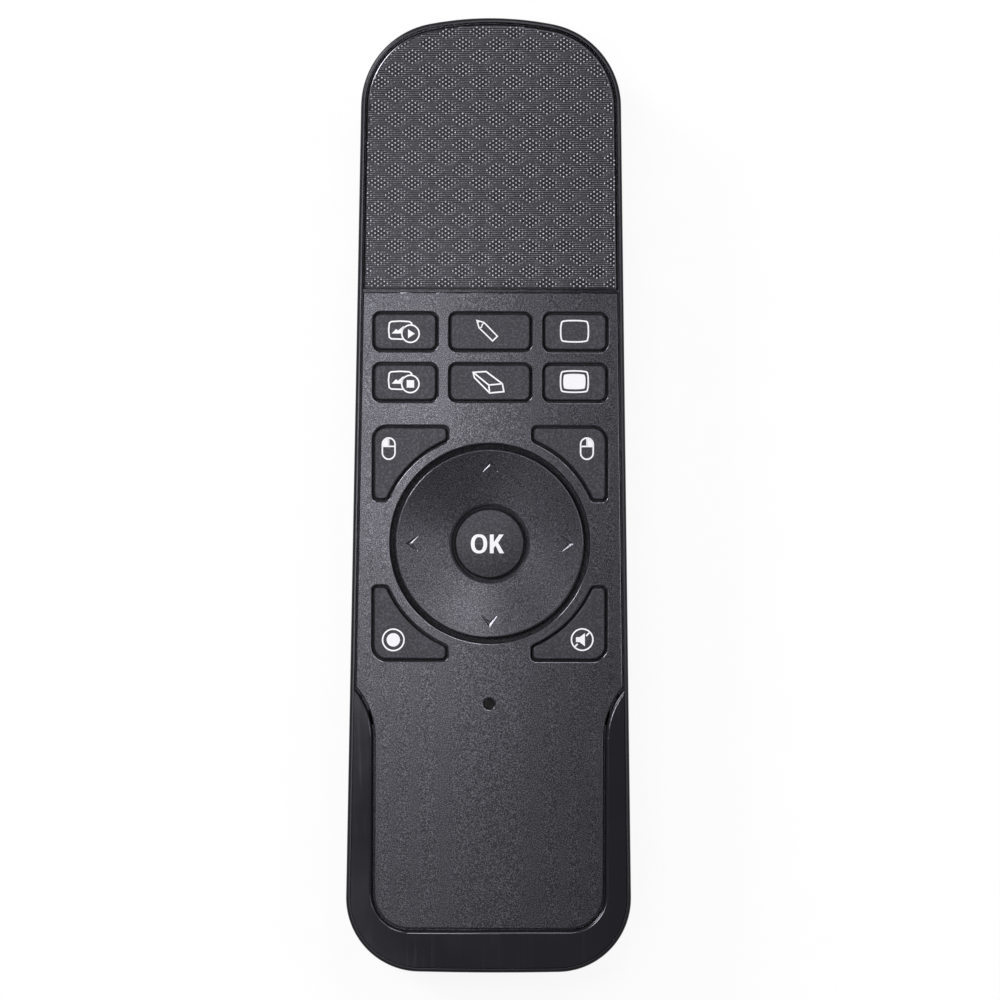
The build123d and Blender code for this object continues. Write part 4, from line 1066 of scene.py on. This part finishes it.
@dataclass
class TouchPad:
    """Touch plate with raised diamonds of dots between ribbed diamonds."""

    half_length: float = 72.6
    front_width: float = 39.2
    rear_width: float = 43.8
    edge_y: float = 31.35
    inset: float = 0.88
    nose_radius: float = 50.0
    corner_radius: float = 12.8
    corner_out: float = 0.12
    corner_back: float = 0.85
    margin: float = 0.3
    trim: float = 0.05
    phase: Point = (-1.742, 55.18)
    diamond_width: float = 5.124
    dot_spacing: float = 0.955
    row_spacing: float = 0.3196
    rows: tuple[int, int] = (-80, 60)
    rows_between: int = 6
    columns: int = 6
    reach: int = 3
    dot_sides: int = 8
    dot_rings: tuple[Point, ...] = ((1.0, -0.02), (0.94, 0.2), (0.55, 0.8))
    dot_radius: float = 0.13
    dot_height: float = 0.045
    faint_share: float = 0.62
    rib_height: float = 0.03
    rib_width: float = 0.16
    rib_clearance: float = 0.3
    rib_step: float = 1.3
    rib_foot: float = 0.005
    shortest_rib: float = 0.4

    def room(self, x: float, y: float) -> float:
        """Distance from a point to the plate's edge.

        Args:
            x: X of the point.
            y: Y of the point.

        Returns:
            The distance in millimetres, negative outside.
        """
        share = (y + self.half_length) / (2 * self.half_length)
        half = (self.rear_width + (self.front_width - self.rear_width) * share) / 2
        side = half - abs(x)
        bow = self.nose_radius - math.hypot(x, y - (self.half_length - self.nose_radius))
        room = min(side, bow)
        centre_x = self.front_width / 2 - self.corner_radius + self.corner_out
        centre_y = self.half_length - self.corner_radius - self.corner_back
        if abs(x) > centre_x and y > centre_y:
            room = min(room, self.corner_radius - math.hypot(abs(x) - centre_x, y - centre_y))
        return min(room - self.inset, y - self.edge_y)

    def middles(self, row: int) -> list[tuple[float, int]]:
        """Dotted diamonds that a row of the texture crosses.

        Args:
            row: Number of the row, counted from the phase.

        Returns:
            X of each diamond's middle, and how many dots it has in this row.
        """
        found = []
        for band in range(math.floor(row / self.rows_between), math.ceil(row / self.rows_between) + 1):
            dots = self.reach + 1 - abs(row - band * self.rows_between)
            if dots > 0:
                start = self.phase[0] + (band % 2) * self.diamond_width / 2
                columns = range(-self.columns, self.columns + 1)
                found += [(start + column * self.diamond_width, dots) for column in columns]
        return sorted(found)

    def free(self, row: int) -> list[Point]:
        """Stretches of a row that hold no dots.

        Args:
            row: Number of the row.

        Returns:
            Lowest and highest X of each stretch.
        """
        stretches = []
        middles = self.middles(row)
        for (left, left_dots), (right, right_dots) in zip(middles, middles[1:]):
            start = left + (left_dots - 1) / 2 * self.dot_spacing + self.rib_clearance
            end = right - (right_dots - 1) / 2 * self.dot_spacing - self.rib_clearance
            if end > start:
                stretches.append((start, end))
        return stretches

    def clipped(self, stretch: Point, y: float) -> Point:
        """Shorten a stretch to what lies inside the plate's edge.

        Args:
            stretch: Lowest and highest X.
            y: Y of the row.

        Returns:
            The shortened stretch, which may be empty.
        """
        start, end = stretch
        while start < end and self.room(start, y) < self.margin:
            start += self.trim
        while start < end and self.room(end, y) < self.margin:
            end -= self.trim
        return start, end

    def dome(self, mould: Mould, x: float, y: float, size: float) -> None:
        """Add one raised dot.

        Args:
            mould: Mesh to add to.
            x: X of its middle.
            y: Y of its middle.
            size: Share of the full size.
        """
        sides = self.dot_sides
        base = CROWN.level(x)
        points = []
        for ring, rise in self.dot_rings:
            reach = ring * size * self.dot_radius
            height = base + rise * size * self.dot_height
            for index in range(sides):
                angle = math.tau * index / sides
                points.append(Vector((x + reach * math.cos(angle), y + reach * math.sin(angle), height)))
        points.append(Vector((x, y, base + size * self.dot_height)))
        faces: list[tuple[int, ...]] = [tuple(reversed(range(sides)))]
        for ring in (0, sides):
            for index in range(sides):
                after = (index + 1) % sides
                faces.append((ring + index, ring + after, ring + sides + after, ring + sides + index))
        top = 2 * sides
        faces += [(top + index, top + (index + 1) % sides, top + sides) for index in range(sides)]
        mould.add(points, faces)

    def rib(self, mould: Mould, start: float, end: float, y: float) -> None:
        """Add one fine rib across the plate.

        Args:
            mould: Mesh to add to.
            start: Lowest X.
            end: Highest X.
            y: Y of its middle.
        """
        wide = self.rib_width / 2
        steps = max(2, math.ceil((end - start) / self.rib_step) + 1)
        points = []
        for step in range(steps + 1):
            x = start + (end - start) * step / steps
            base = CROWN.level(x)
            tall = self.rib_height if 0 < step < steps else 0.0
            points += [
                Vector((x, y - wide, base - self.rib_foot)),
                Vector((x, y, base + tall)),
                Vector((x, y + wide, base - self.rib_foot)),
            ]
        last = 3 * steps
        faces: list[tuple[int, ...]] = [(0, 1, 2), (last + 2, last + 1, last)]
        for corner in range(0, last, 3):
            faces += [
                (corner, corner + 3, corner + 4, corner + 1),
                (corner + 1, corner + 4, corner + 5, corner + 2),
                (corner + 2, corner + 5, corner + 3, corner),
            ]
        mould.add(points, faces)

    def build(self) -> None:
        """Dress the plate and raise its dots and ribs."""
        dress("touchpad_surface", Look.TOUCH_PLATE)
        dots, ribs = Mould("touch_dots_painted_glint"), Mould("touch_ribs_painted_highlight")
        for row in range(*self.rows):
            y = self.phase[1] + row * self.row_spacing
            for middle, count in self.middles(row):
                for place in range(count + 1):
                    x = middle + (place - (count - 1) / 2) * self.dot_spacing
                    if self.room(x, y) > self.margin:
                        self.dome(dots, x, y, 1.0 if place < count else self.faint_share)
            for stretch in self.free(row):
                start, end = self.clipped(stretch, y)
                if end - start > self.shortest_rib:
                    self.rib(ribs, start, end, y)
        # The dots' light colour is a painted glint.
        dots.make("handset", Look.TOUCH_DOTS_PAINTED_GLINT, "touch_plate", smooth=True)
        # The ribs' light colour is a painted highlight.
        ribs.make("handset", Look.TOUCH_RIBS_PAINTED_HIGHLIGHT, "touch_plate")


# ---------------------------------------------------------------------------------- keys
@dataclass
class KeySet:
    """The ten keys round the direction pad, each with its printed symbol."""

    sink: float = 0.12
    front_y: float = 24.87
    second_y: float = 17.15
    fine_line: float = 0.16
    thin_line: float = 0.2
    bold_line: float = 0.24
    sign_x: float = -12.145
    sign_drops: Point = (0.31, 0.23)
    sign_radius: float = 1.32
    picture_edge: tuple[Point, ...] = ((-1.1, -0.84), (-2.9, -0.78), (-3.22, -0.55), (-3.33, 0.55),
                                       (-3.22, 1.6), (-2.95, 1.83), (-1.55, 1.92), (-0.15, 1.83),
                                       (0.16, 1.6), (0.25, 1.28))
    picture_hills: tuple[Point, ...] = ((-2.85, 0.02), (-2.2, 0.72), (-1.9, 0.48), (-1.1, 1.15),
                                        (-0.78, 0.95), (-1.15, 0.48), (-1.32, 0.02))
    play_sign: tuple[Point, ...] = ((-0.38, -0.68), (0.66, 0.0), (-0.38, 0.68))
    stop_sign: tuple[Point, ...] = ((-0.56, -0.57), (0.58, -0.57), (0.58, 0.57), (-0.56, 0.57))
    screen_x: float = 12.81
    screen_rises: Point = (0.14, 0.2)
    screen_half: Point = (2.005, 1.52)
    screen_bow: Point = (0.11, 0.35)
    filling_half: Point = (1.6, 1.08)
    filling_bow: Point = (0.1, 0.2)
    left_mouse: Point = (-15.41, 7.07)
    right_mouse: Point = (14.75, 7.15)
    mouse_half: Point = (0.96, 1.62)
    mouse_divider: float = 0.34
    badge_radius: float = 1.63
    laser_middle: Point = (-14.62, -22.03)
    laser_dot: float = 1.02
    mute_middle: Point = (14.12, -21.9)
    speaker: tuple[Point, ...] = ((-0.95, -0.38), (-0.4, -0.38), (0.42, -1.02), (0.42, 0.98),
                                  (-0.4, 0.38), (-0.95, 0.38))
    strike: tuple[tuple[Point, Point], ...] = (((-1.15, -1.1), (-0.68, -0.66)), ((0.6, 0.55), (1.15, 1.12)))

    def print_on(self, key: str) -> Print:
        """Start the symbol of a key on its crowned top."""
        return Print(f"{key}_symbol", lambda x, y: CROWN.level(x, self.sink))

    def finish(self, symbol: Print, key: str) -> None:
        """Make a key's symbol and dress the key."""
        dress(key, Look.KEY_RUBBER)
        symbol.make(f"{key}_body", Look.KEY_PRINT)

    def slideshow(self, key: str, y: float, sign: Sequence[Point]) -> None:
        """Picture with a round sign at its lower right.

        Args:
            key: Name of the key.
            y: Y of the round sign's middle.
            sign: What stands in the round sign, for play or stop.
        """
        symbol = self.print_on(key)
        x = self.sign_x
        symbol.stroke(moved(self.picture_edge, x, y))
        symbol.shape(moved(self.picture_hills, x, y))
        symbol.ring((x, y), self.sign_radius)
        symbol.shape(moved(sign, x, y))
        self.finish(symbol, key)

    def pencil(self) -> None:
        """Pencil that points up and left."""
        symbol = self.print_on("pen_key")
        tip, upper, lower = (-2.06, 26.6), (-0.98, 26.3), (-1.72, 25.48)
        end_upper, end_lower = (1.08, 24.2), (0.35, 23.48)
        collar = [(-1.35, 25.56), (-1.24, 25.92)]
        lead = [(-1.62, 26.46), (-1.88, 26.12)]
        symbol.stroke([tip, upper, end_upper, end_lower, lower], closed=True, width=self.thin_line)
        symbol.stroke([lower, *collar, upper], width=self.fine_line)
        symbol.shape([tip, *lead])
        self.finish(symbol, "pen_key")

    def eraser(self) -> None:
        """Slanted block."""
        symbol = self.print_on("eraser_key")
        corner, back, far = (-2.59, 18.7), (-0.63, 18.83), (1.85, 16.98)
        low_far, low_near, low_left = (2.09, 15.78), (-0.08, 15.57), (-2.4, 17.9)
        inner = (-0.21, 16.78)
        symbol.stroke([corner, back, far, low_far, low_near, low_left], closed=True)
        for point in (corner, far, low_near):
            symbol.stroke([inner, point])
        self.finish(symbol, "eraser_key")

    def screen(self, key: str, y: float, filled: bool) -> None:
        """Screen outline, empty or with a filled picture.

        Args:
            key: Name of the key.
            y: Y of the screen's middle.
            filled: Whether the picture is filled.
        """
        symbol = self.print_on(key)
        middle = (self.screen_x, y)
        symbol.stroke(bowed_box(middle, self.screen_half, *self.screen_bow), closed=True)
        if filled:
            symbol.shape(bowed_box(middle, self.filling_half, *self.filling_bow))
        self.finish(symbol, key)

    def mouse(self, key: str, side: int) -> None:
        """Mouse with its left or right button filled.

        Args:
            key: Name of the key.
            side: -1 for the left button and 1 for the right.
        """
        symbol = self.print_on(key)
        x, y = self.right_mouse if side > 0 else self.left_mouse
        half, tall = self.mouse_half
        top, bottom, divider = y + tall, y - tall, y + self.mouse_divider
        round_top = arc((x, top - half), (half, half), 0, 180)
        round_low = arc((x, bottom + half), (half, half), 180, 360)
        symbol.stroke([*round_top, *round_low], closed=True)
        symbol.stroke([(x - half, divider), (x + half, divider)])
        symbol.stroke([(x, divider), (x, top)], width=self.thin_line)
        quarter = arc((x, top - half), (half, half), 90, 90 + 90 * -side, 6)
        symbol.shape([(x, divider), (x, top), *quarter[1:], (x + side * half, divider)])
        self.finish(symbol, key)

    def laser(self) -> None:
        """Dot in a ring."""
        symbol = self.print_on("laser_key")
        symbol.ring(self.laser_middle, self.badge_radius)
        symbol.disc(self.laser_middle, self.laser_dot)
        self.finish(symbol, "laser_key")

    def mute(self) -> None:
        """Struck-out loudspeaker in a ring."""
        symbol = self.print_on("mute_key")
        symbol.ring(self.mute_middle, self.badge_radius)
        symbol.shape(moved(self.speaker, *self.mute_middle))
        for part in self.strike:
            symbol.stroke(moved(part, *self.mute_middle), width=self.bold_line)
        self.finish(symbol, "mute_key")

    def build(self) -> None:
        """Make every key's symbol and dress the keys."""
        self.slideshow("start_key", self.front_y - self.sign_drops[0], self.play_sign)
        self.slideshow("stop_key", self.second_y - self.sign_drops[1], self.stop_sign)
        self.pencil()
        self.eraser()
        self.screen("blank_screen_key", self.front_y + self.screen_rises[0], filled=False)
        self.screen("white_screen_key", self.second_y + self.screen_rises[1], filled=True)
        self.mouse("left_click_key", -1)
        self.mouse("right_click_key", 1)
        self.laser()
        self.mute()


@dataclass
class DirectionPad:
    """Dished ring with engraved arrows round the domed OK key."""

    middle_y: float = PAD_MIDDLE
    key_top: float = 19.45
    key_crest: float = 5.1
    key_rise: float = 0.35
    cap_height: float = 2.86
    cap_drop: float = 1.48
    letter_lift: float = 0.04
    letter_step: float = 0.3
    o_middle: float = -1.62
    o_outer: Point = (1.24, 1.46)
    o_inner: Point = (0.66, 1.02)
    o_power: float = 0.86
    o_points: int = 48
    k_left: float = 0.02
    k_stem: float = 0.6
    k_notches: Point = (0.84, 1.66)
    k_arms: tuple[Point, ...] = ((0.88, 1.16), (1.46, 0.0), (2.18, 0.0), (1.26, 1.62))
    k_arm_end: Point = (2.1, 1.4)

    def dome(self, x: float, y: float) -> float:
        """Height of the OK key's top."""
        reach = math.hypot(x, y - self.middle_y) / self.key_crest
        return self.key_top - self.key_rise * reach * reach

    def squarish(self, middle: Point, radii: Point) -> list[Point]:
        """Oval squared a little, as the O of a bold alphabet is.

        Args:
            middle: Its middle.
            radii: Half width and half height.

        Returns:
            The points.
        """
        points = []
        for index in range(self.o_points):
            angle = math.tau * index / self.o_points
            across, up = math.cos(angle), math.sin(angle)
            across = math.copysign(abs(across) ** self.o_power, across)
            up = math.copysign(abs(up) ** self.o_power, up)
            points.append((middle[0] + radii[0] * across, middle[1] + radii[1] * up))
        return points

    def lettering(self) -> None:
        """Print OK on the key in bold capitals."""
        letters = Print("ok_key_lettering", self.dome, lift=self.letter_lift, step=self.letter_step)
        low = self.middle_y - self.cap_drop
        middle = (self.o_middle, low + self.cap_height / 2)
        letters.shape(self.squarish(middle, self.o_outer), self.squarish(middle, self.o_inner))
        stem, tall = self.k_stem, self.cap_height
        lower_notch, upper_notch = self.k_notches
        arm_end = [(across, tall) for across in self.k_arm_end]
        lower = [(0.0, 0.0), (stem, 0.0), (stem, lower_notch), *self.k_arms]
        upper = [*arm_end, (stem, upper_notch), (stem, tall), (0.0, tall)]
        letters.shape(moved(lower + upper, self.k_left, low))
        letters.make("ok_key_body", Look.KEY_PRINT)

    def build(self) -> None:
        """Dress the ring, its rocker and the OK key, and letter the key."""
        dress("dpad_ring", Look.RING_GREY)
        dress("dpad_rocker", Look.SPRING_STEEL)
        dress("dpad_base", Look.MOULDED_BLACK)
        dress("ok_key", Look.KEY_RUBBER)
        self.lettering()


# ---------------------------------------------------------------------------------- inner parts
@dataclass
class StatusLight:
    """Small lamp on the board and the smoked guide that brings its light to the face."""

    guide: Look = Look.SMOKED_GUIDE
    lamp: Look = Look.MOULDED_IVORY

    def build(self) -> None:
        """Dress the guide and the lamp under it."""
        dress("led_light_pipe", self.guide)
        dress("status_led", self.lamp)


@dataclass
class Circuit:
    """Main board and touch board with what is soldered, screwed or laid on them."""

    boards: tuple[str, ...] = ("main_board", "touch_sensor_board")

    def dress_boards(self) -> None:
        """Mask and tracks on both boards, black chips and steel screws on the main one."""
        for board in self.boards:
            dress(board, Look.BOARD_GREEN)
        dress("circuit_chips", Look.CHIP_BLACK)
        dress("board_screws", Look.SCREW_STEEL)

    def dress_cable(self) -> None:
        """Flat cable between the boards, and its connector."""
        dress("touch_flex", Look.FLEX_AMBER)
        dress("flex_connector", Look.MOULDED_IVORY)

    def dress_keypad(self) -> None:
        """Silicone mat under the keys, and the snap domes that it presses."""
        dress("keypad_mat", Look.SILICONE_GREY)
        dress("snap_domes", Look.SPRING_STEEL)

    def build(self) -> None:
        """Dress everything on the boards."""
        self.dress_boards()
        self.dress_cable()
        self.dress_keypad()


@dataclass
class BatteryBay:
    """Two cells, their springs and plates, and the sliding door over them."""

    cell: Look = Look.CELL_SLEEVE
    contact: Look = Look.SPRING_STEEL
    door: Look = Look.BACK_MATT_BLACK

    def build(self) -> None:
        """Dress the cells, the contacts and the door."""
        dress("battery_cells", self.cell)
        dress("battery_contacts", self.contact)
        dress("battery_door", self.door)


@dataclass
class Receiver:
    """Radio plug that is stowed in the tail: cap, metal shell, tongue and pins."""

    cap: Look = Look.MOULDED_BLACK
    shell: Look = Look.PLUG_NICKEL
    tongue: Look = Look.MOULDED_IVORY
    pins: Look = Look.CONTACT_GOLD

    def build(self) -> None:
        """Dress the four pieces of the plug."""
        dress("receiver_cap", self.cap)
        dress("receiver_shell", self.shell)
        dress("receiver_tongue", self.tongue)
        dress("receiver_pins", self.pins)


@dataclass
class PowerSwitch:
    """Slider on the back, the lever that it pushes, and the switch on the board."""

    slider: Look = Look.MOULDED_BLACK
    can: Look = Look.SPRING_STEEL

    def build(self) -> None:
        """Dress the slider, its lever and the metal can of the switch."""
        dress("power_slider", self.slider)
        dress("switch_lever", self.slider)
        dress("power_switch", self.can)


@dataclass
class LaserPointer:
    """Brass laser module in the nose, its leads and the window in front of it."""

    barrel: Look = Look.BARREL_BRASS
    window: Look = Look.CLEAR_WINDOW
    leads: Look = Look.WIRE_RED

    def build(self) -> None:
        """Dress the barrel, the window and the leads."""
        dress("laser_module", self.barrel)
        dress("laser_window", self.window)
        dress("laser_leads", self.leads)


# ---------------------------------------------------------------------------------- studio
@dataclass(frozen=True)
class Lamp:
    """Soft box that shines on the clicker."""

    name: str
    place: tuple[float, float, float]
    aim: tuple[float, float, float]
    size: Point
    share: float
    colour: Colour = (0.985, 0.975, 1.0)

    def build(self) -> None:
        """Hang the lamp; its share is its part of the light on a level surface."""
        place, aim = Vector(self.place) * MM, Vector(self.aim) * MM
        ray = aim - place
        lamp = bpy.data.lights.new(self.name, "AREA")
        lamp.shape = "RECTANGLE"
        lamp.size, lamp.size_y = self.size[0] * MM, self.size[1] * MM
        slope = abs(ray.normalized().z)
        lamp.energy = self.share * math.pi**2 * ray.length_squared / slope
        lamp.color = self.colour
        holder = bpy.data.objects.new(self.name, lamp)
        holder.location = place
        holder.rotation_euler = ray.to_track_quat("-Z", "Y").to_euler()
        holder.visible_camera = False
        bpy.context.scene.collection.objects.link(holder)


@dataclass
class Studio:
    """Pale floor, soft lamps, world and camera."""

    scale: float = 0.15217
    frame_pixels: int = 1000
    centre: Point = (1.55, -0.7)
    roll: float = 0.181
    lens: float = 200.0
    sensor: float = 36.0
    clip: Point = (0.01, 20.0)
    subject_level: float = 19.6
    floor_gap: float = 0.1
    floor_reach: float = 4.0
    floor_greys: Point = (0.11, 0.13)
    floor_roughness: float = 0.9
    floor_glow: float = 0.9
    cloud_size: float = 6.0
    world_level: float = 0.15
    world_colour: Colour = (0.97, 0.96, 1.0)
    lamps: tuple[Lamp, ...] = (
        Lamp("near_box", (-76.0, 20.0, 500.0), (-10.0, 10.0, 20.0), (60.0, 140.0), 0.225),
        Lamp("tail_box", (-110.0, -190.0, 500.0), (0.0, -20.0, 20.0), (140.0, 140.0), 0.04),
        Lamp("top_box", (60.0, 260.0, 500.0), (0.0, 0.0, 20.0), (120.0, 120.0), 0.16),
        Lamp("corner_box", (200.0, 200.0, 500.0), (0.0, 0.0, 20.0), (120.0, 120.0), 0.075),
        Lamp("right_box", (260.0, 20.0, 500.0), (0.0, 0.0, 20.0), (150.0, 150.0), 0.095),
        Lamp("left_box", (-600.0, 460.0, 540.0), (0.0, 0.0, 20.0), (300.0, 300.0), 0.27),
    )

    def floor(self) -> None:
        """Pale floor that stays white to the camera and keeps the shadow."""
        mesh = bpy.data.meshes.new("floor")
        reach, low = self.floor_reach, -self.floor_gap * MM
        spots = [(-reach, -reach, low), (reach, -reach, low), (reach, reach, low), (-reach, reach, low)]
        mesh.from_pydata(spots, [], [(0, 1, 2, 3)])
        made = bpy.data.objects.new("floor", mesh)
        bpy.context.scene.collection.objects.link(made)
        graph = Graph("pale_floor")
        path = graph.node("ShaderNodeLightPath")
        seen = graph.maths("MAXIMUM", path.outputs["Is Camera Ray"], path.outputs["Is Glossy Ray"])
        seen = graph.maths("MAXIMUM", seen, path.outputs["Is Transmission Ray"])
        darker, lighter = ((grey, grey, grey) for grey in self.floor_greys)
        graph.colour(graph.blend(graph.noise(self.cloud_size, 4.0), darker, lighter))
        graph.set(Roughness=self.floor_roughness, Specular_IOR_Level=0.0)
        glow = graph.node("ShaderNodeEmission")
        graph.join(graph.maths("MULTIPLY", seen, self.floor_glow), glow.inputs["Strength"])
        joined = graph.node("ShaderNodeAddShader")
        graph.join(graph.shader.outputs[0], joined.inputs[0])
        graph.join(glow.outputs[0], joined.inputs[1])
        graph.join(joined.outputs[0], graph.tree.nodes["Material Output"].inputs["Surface"])
        mesh.materials.append(graph.material)

    def world(self) -> None:
        """Even room light."""
        world = bpy.data.worlds.new("room")
        world.use_nodes = True
        bpy.context.scene.world = world
        back = world.node_tree.nodes["Background"]
        back.inputs["Color"].default_value = (*self.world_colour, 1.0)
        back.inputs["Strength"].default_value = self.world_level

    def camera(self) -> None:
        """Camera straight over the clicker, turned by its small roll."""
        data = bpy.data.cameras.new("camera")
        data.lens = self.lens
        data.sensor_width = self.sensor
        made = bpy.data.objects.new("camera", data)
        distance = self.scale * self.frame_pixels * self.lens / self.sensor
        made.location = Vector((self.centre[0], self.centre[1], self.subject_level + distance)) * MM
        made.rotation_euler = (0.0, 0.0, math.radians(self.roll))
        data.clip_start, data.clip_end = self.clip
        bpy.context.scene.collection.objects.link(made)
        bpy.context.scene.camera = made

    def build(self) -> None:
        """Set up everything round the clicker."""
        bpy.context.scene.view_settings.view_transform = "Standard"
        self.floor()
        self.world()
        for lamp in self.lamps:
            lamp.build()
        self.camera()


def main() -> None:
    """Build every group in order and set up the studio."""
    logging.basicConfig(level=logging.INFO, format="%(name)s: %(message)s")
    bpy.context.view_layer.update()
    groups = [Housing(), Cover(), TouchPad(), KeySet(), DirectionPad(), StatusLight(), Circuit(),
              BatteryBay(), Receiver(), PowerSwitch(), LaserPointer(), Studio()]
    for group in groups:
        group.build()
        log.info("%s built", type(group).__name__)


if __name__ == "__main__":
    main()
